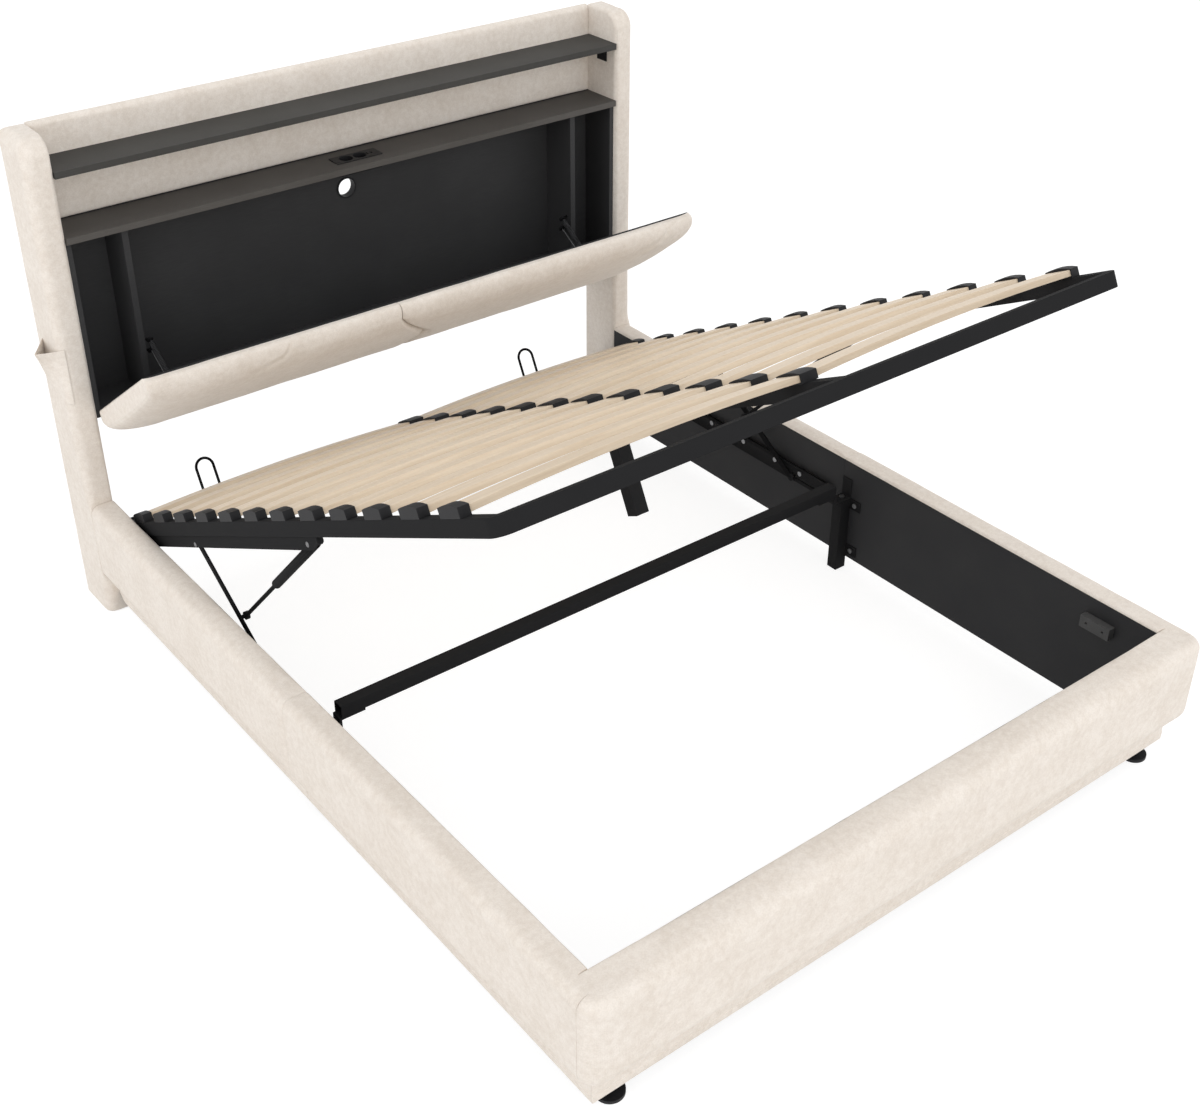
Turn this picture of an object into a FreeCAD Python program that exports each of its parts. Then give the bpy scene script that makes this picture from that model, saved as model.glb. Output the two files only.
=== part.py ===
import FreeCAD, Part
import math
import os

V = FreeCAD.Vector

os.makedirs("parts", exist_ok=True)

# Upholstered storage bed with a lifting slat platform and a drop-down headboard flap.
# Millimetres, +X to the right seen from the foot, +Y from foot to head, +Z up from the floor.

# Bed frame
INNER_WIDTH = 1640.0
INNER_LENGTH = 1994.0
RAIL_CORE = 26.0
RAIL_PAD = 40.0
RAIL_TOP = 333.0
RAIL_BOTTOM = 33.0
PAD_BOTTOM = 112.0
TOP_SKIN = 8.0
SKIRT = 1.5
FOOT_CORE = 47.0
FOOT_PAD = 43.0
FOOT_CORNER = 41.0
PAD_TOP_ROUND = 30.0
PAD_LOW_ROUND = 20.0
FOOT_LOW_ROUND = 36.0
PAD_CROWN = 3.0
PAD_CROWN_RADIUS = 2500.0
PAD_END_DRAW = 4.0
PAD_END_RUN = 14.0
RAIL_HEEL_ROUND = 40.0
SEAM_GAP = 0.6

# Feet and the blocks that carry the foot tube
GLIDE_RADIUS = 31.0
GLIDE_RIM = 8.0
GLIDE_STEM = 11.0
GLIDE_INSET = 32.0
BLOCK_FROM_FOOT = 109.0
BLOCK_LENGTH = 83.0
BLOCK_HEIGHT = 32.0
BLOCK_DEPTH = 20.0
BLOCK_HOLE_RADIUS = 3.0
BLOCK_HOLE_INSET = 18.0
BLOCK_GAP = 1.0

# Headboard
WING_DEPTH = 146.0
HEAD_TOP = 1292.0
WING_FRONT_ROUND = 50.0
WING_BACK_ROUND = 24.0
WING_EDGE_ROUND = 22.0
WING_PADDING = 11.0
COVER_LIFT = 2.0
BACK_BOARD = 12.0
BACK_SKIN = 8.0
BACK_ROUND = 14.0
BOARD = 16.0
TOP_SHELF_DOWN = 84.0
BOX_TOP_DOWN = 246.0
BOX_FLOOR_TOP = 582.0
BOX_SIDE = 13.0
BOX_INSET = 12.0
DIVIDER_X = 673.0
BRACKET_FROM_FRONT = 43.0
BRACKET_WIDTH = 42.0
BRACKET_HEIGHT = 44.0
BRACKET_REACH = 30.0
BRACKET_PLATE = 2.5

# Cable grommet and power module
GROMMET_DOWN = 104.0
GROMMET_RIM = 29.0
GROMMET_BORE = 25.0
GROMMET_LIP = 3.0
GROMMET_FIT = 0.3
GROMMET_WALL = 1.7
POWER_LENGTH = 137.0
POWER_WIDTH = 50.0
POWER_FROM_FRONT = 62.0
POWER_LIP = 2.0
POWER_BODY_MARGIN = 4.0
POWER_BODY_DEPTH = 38.0
POWER_FIT = 0.5
SOCKET_RADIUS = 18.5
SOCKET_DEPTH = 17.0
SOCKET_X = (-29.5, 11.3)
CONTACT_RADIUS = 2.4
CONTACT_SPACING = 19.0
CONTACT_DEPTH = 12.0
PORT_X = (34.5, 46.5)
PORT_LENGTH = 12.5
PORT_WIDTH = 5.0
PORT_DEPTH = 10.0

# Pockets on the wings' outer sides
POCKET_LOW = 624.0
POCKET_HIGH = 773.0
POCKET_WIDTH = 95.0
POCKET_REACH = 44.0
POCKET_LOW_REACH = 5.0
POCKET_WALL = 2.0
POCKET_FROM_FRONT = 3.0

# Crossbar under the platform
CROSSBAR_TUBE = 30.0
CROSSBAR_TOP = 276.0
CROSSBAR_FROM_SEAM = 17.0
CROSSBAR_BEFORE_BASE = 57.0
CROSSBAR_WALL = 2.0
CROSSBAR_END_GAP = 60.0
DROP_PLATE = 6.0
DROP_DEPTH = 22.0
DROP_LAP = 60.0
LEG_TUBE = 32.0
TAB_LENGTH = 38.0
TAB_HEIGHT = 30.0
TAB_PLATE = 3.0
TAB_LEVELS = (61.0, 205.0)

# Slat platform, measured from its foot end and from the tubes' underside
PLATFORM_FOOT_GAP = 20.0
PLATFORM_HEAD_OVERLAP = 24.0
PLATFORM_SIDE_GAP = 10.0
PLATFORM_REST = 281.0
LIFT_ANGLE = 26.9
TUBE_HEIGHT = 35.0
TUBE_WIDTH = 25.0
TUBE_WALL = 2.0
FOOT_TUBE_CORNER = 30.0
FOOT_TUBE_ARM = 211.0
CENTRE_RAIL_WIDTH = 30.0
CENTRE_LEG = 36.0
CENTRE_LEG_FROM_FOOT = 815.0
CENTRE_LEG_DROP = 229.0
SLATS = 12
SLAT_FIRST = 144.0
SLAT_LAST_GAP = 209.0
SLAT_WIDTH = 66.0
SLAT_THICK = 14.0
SLAT_BOW = 11.0
SLAT_SEAT = 3.0
SLAT_FIT = 0.4
HOLDER_WALL = 2.6
HOLDER_DEEP = 24.0
HOLDER_HEIGHT = 20.0
HOLDER_CROWN = 4.5
HOLDER_BACK = 4.0
CENTRE_HOLDER_HALF = 22.0
CENTRE_HOLDER_WEB = 8.0
HOOP_X = 533.0
HOOP_SPACING = 49.0
HOOP_HEIGHT = 88.0
HOOP_WIRE = 3.7

# Lift linkage on each side, measured from its rear pivot
PIVOT_FROM_WING = 139.0
PIVOT_Z = 215.0
PIN_RADIUS = 5.0
PIN_FIT = 0.06
PIN_HEAD = 8.0
PIN_HEAD_THICK = 2.5
BASE_PLATE = 5.0
BASE_STAND_OFF = 8.0
BASE_HALF_HEIGHT = 24.0
BASE_REAR = 32.0
BASE_BOLTS = (95.0, 340.0, 477.0, 608.0, 708.0)
BOSS_RADIUS = 12.0
BOLT_RADIUS = 4.0
BOLT_HEAD = 7.0
BOLT_HEAD_THICK = 3.5
BOLT_FIT = 0.3
SLOT_DROP = 18.0
SLOT_PIN = 4.0
SLOT_FIT = 1.0
SLOT_SPARE = 3.0
SLOT_TO_TIP = 11.4
ARM_PLATE = 4.0
ARM_GAP = 1.0
ARM_DEPTH = 30.0
ARM_NOSE = 53.0
ARM_REAR = 27.0
ARM_FLANGE = 4.0
ARM_LOBE = 17.0
LINK_PLATE = 5.0
LINK_GAP = 3.0
LINK_LENGTH = 428.0
LINK_HALF_WIDTH = 8.0
LINK_EYE = 11.0
LINK_TOP_FROM_PIVOT = 383.0
LINK_TOP_DROP = 23.0
STRUT_ON_LINK = 212.0
STRUT_TOP_FROM_PIVOT = 1043.0
STRUT_TOP_DROP = 17.0
STRUT_RADIUS = 11.0
STRUT_NECK = 5.0
STRUT_START = 20.0
STRUT_TUBE = 300.0
STRUT_EYE = 10.0
STRUT_EYE_THICK = 10.0
STRUT_GAP = 9.0
ROD_RADIUS = 5.0
ROD_FIT = 0.3
ROD_HELD = 34.0
STUD_RADIUS = 5.0
STUD_CLEARANCE = 0.6

# Drop-down flap, measured from its hinge axis with the flap closed
FLAP_ANGLE = 55.3
FLAP_AXIS_BACK = 5.0
FLAP_AXIS_UP = 4.0
FLAP_SIDE_GAP = 3.0
FLAP_BOARD = 10.0
FLAP_LENGTH = 400.0
FLAP_START = 7.0
FLAP_OVERHANG = 30.0
FLAP_CROWN = 72.0
FLAP_SEAM = 1.0
FLAP_PAD_FIT = 0.2
FLAP_PAD_RETURN = 2.0
FLAP_EDGE_ROUND = 8.0
FLAP_NOSE_ROUND = 26.0
FLAP_HEEL_ROUND = 22.0
FLAP_END_DRAW = 0.68
FLAP_END_RUN = 155.0
FLAP_MIDDLE_DRAW = 0.24
FLAP_MIDDLE_RUN = 22.0
HINGE_X = 600.0
KNUCKLE_RADIUS = 4.0
KNUCKLE_LENGTH = 22.0
KNUCKLE_GAP = 0.4
HINGE_PIN = 2.0
LEAF = 1.5
LEAF_REACH = 26.0

# Tension springs and check wires of the flap
SPRING_X = 646.0
SPRING_TURNS = 26
SPRING_WIRE = 0.8
SPRING_COIL = 7.2
SPRING_PITCH = 4.1
SPRING_TAIL_SHARE = 0.45
SEAT_RADIUS = 9.0
SEAT_THICK = 4.0
STUD_PIN = 2.5
SPRING_FIXED_BACK = 24.0
SPRING_FIXED_UP = 138.0
SPRING_ON_FLAP = 103.0
SPRING_OFF_FLAP = 10.0
WIRE_RADIUS = 1.4
WIRE_FIXED_BACK = 26.0
WIRE_FIXED_UP = 108.0
WIRE_ON_FLAP = 82.0

# Positions that follow from the sizes above
HALF = INNER_WIDTH / 2
CORE_X = HALF + RAIL_CORE
OUTER_X = CORE_X + RAIL_PAD
LENGTH = FOOT_PAD + FOOT_CORE + INNER_LENGTH + WING_DEPTH
FOOT_Y = -LENGTH / 2 + FOOT_PAD + FOOT_CORE
WING_Y = FOOT_Y + INNER_LENGTH
BACK_Y = WING_Y + WING_DEPTH
CORE_TOP = RAIL_TOP - TOP_SKIN
PANEL_Y = BACK_Y - BACK_BOARD - BACK_SKIN
TOP_SHELF_TOP = HEAD_TOP - TOP_SHELF_DOWN
BOX_TOP = HEAD_TOP - BOX_TOP_DOWN
BOX_CEILING = BOX_TOP - BOARD
GROMMET_Z = BOX_TOP - GROMMET_DOWN
PLATFORM_LENGTH = INNER_LENGTH - PLATFORM_FOOT_GAP + PLATFORM_HEAD_OVERLAP
PLATFORM_HALF = HALF - PLATFORM_SIDE_GAP
TUBE_INNER = PLATFORM_HALF - TUBE_WIDTH
SLAT_PITCH = (PLATFORM_LENGTH - SLAT_FIRST - SLAT_LAST_GAP) / (SLATS - 1)
PIVOT_Y = WING_Y - PIVOT_FROM_WING
PIVOT_S = PIVOT_Y - FOOT_Y - PLATFORM_FOOT_GAP
BASE_OUT = HALF - BASE_STAND_OFF
BASE_IN = BASE_OUT - BASE_PLATE
ARM_OUT = BASE_IN - ARM_GAP
ARM_IN = ARM_OUT - ARM_PLATE
LINK_OUT = ARM_IN - LINK_GAP
LINK_IN = LINK_OUT - LINK_PLATE
STRUT_OUT = LINK_IN - STRUT_GAP
STRUT_IN = STRUT_OUT - STRUT_EYE_THICK
STRUT_X = (STRUT_OUT + STRUT_IN) / 2
SLOT_Z = PIVOT_Z - SLOT_DROP
LINK_FALL = PLATFORM_REST - LINK_TOP_DROP - SLOT_Z
BASE_FRONT = LINK_TOP_FROM_PIVOT + math.sqrt(LINK_LENGTH ** 2 - LINK_FALL ** 2) + SLOT_TO_TIP
CROSSBAR_Y = PIVOT_Y - BASE_FRONT - CROSSBAR_BEFORE_BASE
SEAM_Y = CROSSBAR_Y + CROSSBAR_FROM_SEAM
AXIS_Y = WING_Y + FLAP_AXIS_BACK
AXIS_Z = BOX_FLOOR_TOP + FLAP_AXIS_UP
FLAP_HALF = HALF - FLAP_SIDE_GAP
DIVIDER_IN = DIVIDER_X - BOARD / 2


def box(x0, x1, y0, y1, z0, z1):
    return Part.makeBox(x1 - x0, y1 - y0, z1 - z0, V(x0, y0, z0))


def pin(x0, x1, y, z, radius):
    return Part.makeCylinder(radius, x1 - x0, V(x0, y, z), V(1, 0, 0))


def post(x, y, z0, z1, radius):
    return Part.makeCylinder(radius, z1 - z0, V(x, y, z0))


def mirrored(shape):
    return shape.mirror(V(0, 0, 0), V(1, 0, 0))


def group(shapes):
    return Part.makeCompound(shapes)


def both_sides(shape):
    return group([mirrored(shape), shape])


def join(shapes):
    whole = shapes[0]
    for shape in shapes[1:]:
        whole = whole.fuse(shape)
    return whole.removeSplitter()


def save(name, shape):
    shape.exportStep("parts/" + name + ".step")


def save_sides(name, right):
    save(name + "_right", right)
    save(name + "_left", mirrored(right))


def in_xz(y):
    return lambda u, v: V(u, y, v)


def in_yz(x):
    return lambda u, v: V(x, u, v)


def in_xy(z):
    return lambda u, v: V(u, v, z)


# A closed outline through straight sides, each corner rounded by its own radius.
def outline(corners, plane):
    count = len(corners)
    starts = []
    ends = []
    middles = []
    for index in range(count):
        x, y, radius = corners[index]
        before = corners[index - 1]
        after = corners[(index + 1) % count]
        here = V(x, y, 0)
        toward_before = (V(before[0], before[1], 0) - here).normalize()
        toward_after = (V(after[0], after[1], 0) - here).normalize()
        if radius <= 0:
            starts.append(here)
            ends.append(here)
            middles.append(None)
            continue
        half_angle = toward_before.getAngle(toward_after) / 2
        reach = radius / math.tan(half_angle)
        bisector = (toward_before + toward_after).normalize()
        to_arc = radius / math.sin(half_angle) - radius
        starts.append(here + toward_before * reach)
        ends.append(here + toward_after * reach)
        middles.append(here + bisector * to_arc)
    edges = []
    for index in range(count):
        start = starts[index]
        end = ends[index]
        middle = middles[index]
        if middle is not None:
            edges.append(Part.Arc(plane(start.x, start.y), plane(middle.x, middle.y),
                                  plane(end.x, end.y)).toShape())
        following = starts[(index + 1) % count]
        if (following - end).Length > 1e-6:
            edges.append(Part.makeLine(plane(end.x, end.y), plane(following.x, following.y)))
    return Part.Wire(edges)


def sheet(corners, plane, travel):
    return Part.Face(outline(corners, plane)).extrude(travel)


def rounded_rectangle(x0, x1, y0, y1, radius):
    return [(x0, y0, radius), (x1, y0, radius), (x1, y1, radius), (x0, y1, radius)]


# Side rails: core boards in two halves, padded covers hooked over them
def rail_section(y, draw):
    top = RAIL_TOP - draw
    low = PAD_BOTTOM + draw
    outer = OUTER_X - PAD_CROWN - draw
    middle = (top + low) / 2
    corners = [
        (CORE_X, low, 0),
        (outer, low, PAD_LOW_ROUND),
        (outer + PAD_CROWN, middle, PAD_CROWN_RADIUS),
        (outer, top, PAD_TOP_ROUND),
        (HALF, top, TOP_SKIN - draw - 0.5),
        (HALF, CORE_TOP, 0),
        (CORE_X, CORE_TOP, 0),
    ]
    return outline(corners, in_xz(y))


# What is cut away outside the rounded lower corner of a rail, where it meets the wing
def heel_waste(x0, x1):
    corner_y = WING_Y - RAIL_HEEL_ROUND
    corner_z = RAIL_BOTTOM + RAIL_HEEL_ROUND
    square = box(x0, x1, corner_y, WING_Y + 1, RAIL_BOTTOM - 1, corner_z)
    return square.cut(pin(x0 - 1, x1 + 1, corner_y, corner_z, RAIL_HEEL_ROUND))


def rail_cover(y0, y1, at_wing):
    sections = [
        rail_section(y0, PAD_END_DRAW),
        rail_section(y0 + PAD_END_RUN, 0.0),
        rail_section(y1 - PAD_END_RUN, 0.0),
        rail_section(y1, PAD_END_DRAW),
    ]
    pad = Part.makeLoft(sections, True, True)
    skirt = box(CORE_X, CORE_X + SKIRT, y0, y1, RAIL_BOTTOM + COVER_LIFT, PAD_BOTTOM + PAD_END_DRAW + 2)
    cover = join([pad, skirt])
    if at_wing:
        cover = cover.cut(heel_waste(CORE_X - 1, OUTER_X + 1))
    return cover


def rail_core(y0, y1):
    return box(HALF, CORE_X, y0, y1, RAIL_BOTTOM, CORE_TOP)


def rail_pad_with_corner():
    body = rail_cover(FOOT_Y, SEAM_Y - SEAM_GAP / 2, False)
    # The cover runs on past the core's end to the footboard's front padding.
    extra = [
        rail_section(FOOT_Y - FOOT_CORE + SEAM_GAP, PAD_END_DRAW),
        rail_section(FOOT_Y - FOOT_CORE + SEAM_GAP + PAD_END_RUN, 0.0),
        rail_section(FOOT_Y + PAD_END_RUN, 0.0),
    ]
    run_on = Part.makeLoft(extra, True, True)
    inside = box(HALF - 1, CORE_X, FOOT_Y - FOOT_CORE - 1, FOOT_Y, PAD_BOTTOM - 1, RAIL_TOP + 1)
    return join([body, run_on.cut(inside)])


save_sides("rail_core_foot", rail_core(FOOT_Y, SEAM_Y - SEAM_GAP / 2))
core_head = rail_core(SEAM_Y + SEAM_GAP / 2, WING_Y)
save_sides("rail_core_head", core_head.cut(heel_waste(HALF - 1, CORE_X + 1)))
save_sides("rail_cover_foot", rail_pad_with_corner())
save_sides("rail_cover_head", rail_cover(SEAM_Y + SEAM_GAP / 2, WING_Y, True))

# Footboard
FOOT_CORE_Y = FOOT_Y - FOOT_CORE
FOOT_FRONT_Y = FOOT_CORE_Y - FOOT_PAD
save("footboard_core", box(-CORE_X, CORE_X, FOOT_CORE_Y, FOOT_Y, RAIL_BOTTOM, CORE_TOP))


def footboard_cover():
    plan = [
        (-OUTER_X, FOOT_CORE_Y, 0),
        (-OUTER_X, FOOT_FRONT_Y, FOOT_CORNER),
        (OUTER_X, FOOT_FRONT_Y, FOOT_CORNER),
        (OUTER_X, FOOT_CORE_Y, 0),
    ]
    roll = sheet(plan, in_xy(PAD_BOTTOM), V(0, 0, RAIL_TOP - PAD_BOTTOM))
    for level, radius in ((RAIL_TOP, PAD_TOP_ROUND), (PAD_BOTTOM, FOOT_LOW_ROUND)):
        rim = []
        for edge in roll.Edges:
            middle = edge.CenterOfMass
            if middle.y < FOOT_CORE_Y - 0.01 and abs(middle.z - level) < 0.01:
                rim.append(edge)
        roll = roll.makeFillet(radius, rim)
    cap = sheet([
        (FOOT_CORE_Y, CORE_TOP, 0),
        (FOOT_Y, CORE_TOP, 0),
        (FOOT_Y, RAIL_TOP, TOP_SKIN - 0.5),
        (FOOT_CORE_Y, RAIL_TOP, 0),
    ], in_yz(-CORE_X), V(2 * CORE_X, 0, 0))
    skirt = box(-CORE_X, CORE_X, FOOT_CORE_Y - SKIRT, FOOT_CORE_Y, RAIL_BOTTOM + COVER_LIFT,
                PAD_BOTTOM + 2)
    return join([roll, cap, skirt])


save("footboard_cover", footboard_cover())


def glide_foot():
    x = HALF - GLIDE_INSET
    y = FOOT_Y - FOOT_CORE / 2
    disc = post(x, y, 0, GLIDE_RIM, GLIDE_RADIUS)
    stem = post(x, y, GLIDE_RIM, RAIL_BOTTOM, GLIDE_STEM)
    return join([disc, stem])


save("glide_feet", both_sides(glide_foot()))


def support_block():
    y0 = FOOT_Y + BLOCK_FROM_FOOT
    y1 = y0 + BLOCK_LENGTH
    top = PLATFORM_REST - BLOCK_GAP
    block = box(HALF - BLOCK_DEPTH, HALF, y0, y1, top - BLOCK_HEIGHT, top)
    for y in (y0 + BLOCK_HOLE_INSET, y1 - BLOCK_HOLE_INSET):
        block = block.cut(pin(HALF - BLOCK_DEPTH - 1, HALF + 1, y, top - BLOCK_HEIGHT / 2,
                              BLOCK_HOLE_RADIUS))
    return block


save("support_blocks", both_sides(support_block()))

# Headboard wings that stand on the floor
def wing_shell():
    side = [
        (WING_Y, COVER_LIFT, 0),
        (BACK_Y, COVER_LIFT, 0),
        (BACK_Y, HEAD_TOP, WING_BACK_ROUND),
        (WING_Y, HEAD_TOP, WING_FRONT_ROUND),
    ]
    shell = sheet(side, in_yz(HALF), V(OUTER_X - HALF, 0, 0))
    rims = []
    for edge in shell.Edges:
        flat = edge.BoundBox.XLength < 0.01
        at_bottom = edge.BoundBox.ZMax < COVER_LIFT + 0.01
        at_back = edge.BoundBox.YMin > BACK_Y - 0.01
        if flat and not at_bottom and not at_back:
            rims.append(edge)
    return shell.makeFillet(WING_EDGE_ROUND, rims)


def wing_core():
    return box(HALF + WING_PADDING, OUTER_X - WING_PADDING, WING_Y + WING_PADDING,
               BACK_Y - WING_PADDING, 0, HEAD_TOP - WING_FRONT_ROUND)


save_sides("wing_core", wing_core())
save_sides("wing_cover", wing_shell().cut(wing_core()))


# Cloth pocket on the left wing: a D-shaped bag, wide and open at the top, nearly flat at the bottom
def pocket_ring(z, reach, inset):
    y0 = WING_Y + POCKET_FROM_FRONT + inset
    y1 = WING_Y + POCKET_FROM_FRONT + POCKET_WIDTH - inset
    start = V(OUTER_X, y0, z)
    end = V(OUTER_X, y1, z)
    curve = Part.Arc(start, V(OUTER_X + reach - inset, (y0 + y1) / 2, z), end).toShape()
    return Part.Wire([curve, Part.makeLine(end, start)])


def side_pocket():
    bag = Part.makeLoft([pocket_ring(POCKET_LOW, POCKET_LOW_REACH, 0),
                         pocket_ring(POCKET_HIGH, POCKET_REACH, 0)], True, True)
    hollow = Part.makeLoft([pocket_ring(POCKET_LOW + POCKET_WALL, POCKET_LOW_REACH, POCKET_WALL),
                            pocket_ring(POCKET_HIGH + 1, POCKET_REACH, POCKET_WALL)], True, True)
    return bag.cut(hollow)


save("side_pocket", mirrored(side_pocket()))

# Back board, its padded front and the shelves
BOX_UNDER = BOX_FLOOR_TOP - BOARD
GROMMET_HOLE = GROMMET_BORE + GROMMET_WALL + GROMMET_FIT


def across_back(y0, y1, z, radius):
    return Part.makeCylinder(radius, y1 - y0, V(0, y0, z), V(0, 1, 0))


back_board = box(-HALF, HALF, BACK_Y - BACK_BOARD, BACK_Y, BOX_UNDER, HEAD_TOP - BACK_SKIN)
grommet_hole = across_back(PANEL_Y - 1, BACK_Y + 1, GROMMET_Z, GROMMET_HOLE)
save("back_board", back_board.cut(grommet_hole))
save("back_cover", sheet([
    (PANEL_Y, BOX_TOP, 0),
    (PANEL_Y + BACK_SKIN, BOX_TOP, 0),
    (PANEL_Y + BACK_SKIN, HEAD_TOP - BACK_SKIN, 0),
    (BACK_Y, HEAD_TOP - BACK_SKIN, 0),
    (BACK_Y, HEAD_TOP, BACK_SKIN - 2),
    (PANEL_Y, HEAD_TOP, BACK_ROUND),
], in_yz(-HALF), V(2 * HALF, 0, 0)))
save("top_shelf", box(-HALF, HALF, WING_Y, PANEL_Y, TOP_SHELF_TOP - BOARD, TOP_SHELF_TOP))


def shelf_bracket():
    top = TOP_SHELF_TOP - BOARD
    y0 = WING_Y + BRACKET_FROM_FRONT
    y1 = y0 + BRACKET_WIDTH
    upright = box(HALF - BRACKET_PLATE, HALF, y0, y1, top - BRACKET_HEIGHT, top)
    ledge = box(HALF - BRACKET_REACH, HALF, y0, y1, top - BRACKET_PLATE, top)
    return join([upright, ledge])


save("shelf_brackets", both_sides(shelf_bracket()))

# Storage box behind the flap
POWER_Y = WING_Y + POWER_FROM_FRONT
POWER_BODY_X = POWER_LENGTH / 2 - POWER_BODY_MARGIN
POWER_BODY_Y = POWER_WIDTH / 2 - POWER_BODY_MARGIN
power_cutout = box(-POWER_BODY_X - POWER_FIT, POWER_BODY_X + POWER_FIT, POWER_Y - POWER_BODY_Y - POWER_FIT,
                   POWER_Y + POWER_BODY_Y + POWER_FIT, BOX_CEILING - 1, BOX_TOP + 1)
save("box_top", box(-HALF, HALF, WING_Y, PANEL_Y, BOX_CEILING, BOX_TOP).cut(power_cutout))
box_back = box(-HALF, HALF, PANEL_Y, PANEL_Y + BACK_SKIN, BOX_UNDER, BOX_TOP)
save("box_back", box_back.cut(grommet_hole))
save("box_sides", both_sides(box(HALF - BOX_SIDE, HALF, WING_Y + BOX_INSET, PANEL_Y,
                                 BOX_FLOOR_TOP, BOX_CEILING)))
save("box_dividers", both_sides(box(DIVIDER_IN, DIVIDER_X + BOARD / 2, WING_Y + BOX_INSET,
                                    PANEL_Y, BOX_FLOOR_TOP, BOX_CEILING)))
save("box_bottom", box(-HALF, HALF, AXIS_Y + KNUCKLE_RADIUS + 1, PANEL_Y, BOX_UNDER, BOX_FLOOR_TOP))


def cable_grommet():
    sleeve = across_back(PANEL_Y, BACK_Y, GROMMET_Z, GROMMET_BORE + GROMMET_WALL)
    rim = across_back(PANEL_Y - GROMMET_LIP, PANEL_Y, GROMMET_Z, GROMMET_RIM)
    bore = across_back(PANEL_Y - GROMMET_LIP - 1, BACK_Y + 1, GROMMET_Z, GROMMET_BORE)
    return join([sleeve, rim]).cut(bore)


save("cable_grommet", cable_grommet())


def power_module():
    face = BOX_TOP + POWER_LIP
    bezel = sheet(rounded_rectangle(-POWER_LENGTH / 2, POWER_LENGTH / 2, POWER_Y - POWER_WIDTH / 2,
                                    POWER_Y + POWER_WIDTH / 2, POWER_LIP * 2),
                  in_xy(BOX_TOP), V(0, 0, POWER_LIP))
    body = box(-POWER_BODY_X, POWER_BODY_X, POWER_Y - POWER_BODY_Y, POWER_Y + POWER_BODY_Y,
               face - POWER_BODY_DEPTH, BOX_TOP)
    module = join([bezel, body])
    for x in SOCKET_X:
        module = module.cut(post(x, POWER_Y, face - SOCKET_DEPTH, face + 1, SOCKET_RADIUS))
        for side in (-1, 1):
            module = module.cut(post(x, POWER_Y + side * CONTACT_SPACING / 2,
                                     face - SOCKET_DEPTH - CONTACT_DEPTH, face, CONTACT_RADIUS))
    for x in PORT_X:
        module = module.cut(box(x - PORT_WIDTH / 2, x + PORT_WIDTH / 2, POWER_Y - PORT_LENGTH / 2,
                                POWER_Y + PORT_LENGTH / 2, face - PORT_DEPTH, face + 1))
    return module


save("power_module", power_module())

# Crossbar, dropped at its ends to clear the closed lift linkage
CROSSBAR_LOW = CROSSBAR_TOP - CROSSBAR_TUBE
CROSSBAR_FRONT = CROSSBAR_Y - CROSSBAR_TUBE / 2
CROSSBAR_END = HALF - CROSSBAR_END_GAP
LEG_TOP = CROSSBAR_LOW - DROP_PLATE - DROP_DEPTH


def drop_bracket():
    step = LEG_TOP + DROP_PLATE
    corners = [
        (CROSSBAR_END - DROP_LAP, CROSSBAR_LOW - DROP_PLATE, 0),
        (CROSSBAR_END, CROSSBAR_LOW - DROP_PLATE, 0),
        (CROSSBAR_END, LEG_TOP, 0),
        (HALF - TAB_PLATE, LEG_TOP, 0),
        (HALF - TAB_PLATE, step, 0),
        (CROSSBAR_END + DROP_PLATE, step, 0),
        (CROSSBAR_END + DROP_PLATE, CROSSBAR_LOW, 0),
        (CROSSBAR_END - DROP_LAP, CROSSBAR_LOW, 0),
    ]
    return sheet(corners, in_xz(CROSSBAR_FRONT), V(0, CROSSBAR_TUBE, 0))


def crossbar():
    bar = box(-CROSSBAR_END, CROSSBAR_END, CROSSBAR_FRONT, CROSSBAR_FRONT + CROSSBAR_TUBE,
              CROSSBAR_LOW, CROSSBAR_TOP)
    bore = box(-CROSSBAR_END - 1, CROSSBAR_END + 1, CROSSBAR_FRONT + CROSSBAR_WALL,
               CROSSBAR_FRONT + CROSSBAR_TUBE - CROSSBAR_WALL, CROSSBAR_LOW + CROSSBAR_WALL,
               CROSSBAR_TOP - CROSSBAR_WALL)
    bracket = drop_bracket()
    return join([bar.cut(bore), bracket, mirrored(bracket)])


save("crossbar", crossbar())


def crossbar_leg():
    front = CROSSBAR_Y - LEG_TUBE / 2
    leg = box(HALF - TAB_PLATE - LEG_TUBE, HALF - TAB_PLATE, front, front + LEG_TUBE, 0, LEG_TOP)
    strip = box(HALF - TAB_PLATE, HALF, front, front + LEG_TUBE, 0, CROSSBAR_TOP)
    pieces = [leg, strip]
    for level in TAB_LEVELS:
        pieces.append(box(HALF - TAB_PLATE, HALF, front - TAB_LENGTH, front, level - TAB_HEIGHT / 2,
                          level + TAB_HEIGHT / 2))
    return join(pieces)


save("crossbar_legs", both_sides(crossbar_leg()))


# Lift linkage geometry in the side view, closed and raised
def raised(point):
    angle = math.radians(LIFT_ANGLE)
    dy = point[0] - PIVOT_Y
    dz = point[1] - PIVOT_Z
    y = PIVOT_Y + dy * math.cos(angle) + dz * math.sin(angle)
    z = PIVOT_Z - dy * math.sin(angle) + dz * math.cos(angle)
    return (y, z)


def slot_pin(link_top):
    drop = link_top[1] - SLOT_Z
    return (link_top[0] - math.sqrt(LINK_LENGTH ** 2 - drop ** 2), SLOT_Z)


def between(a, b, distance):
    length = math.hypot(b[0] - a[0], b[1] - a[1])
    return (a[0] + (b[0] - a[0]) * distance / length, a[1] + (b[1] - a[1]) * distance / length)


def slope(a, b):
    return math.atan2(b[1] - a[1], b[0] - a[0])


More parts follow.
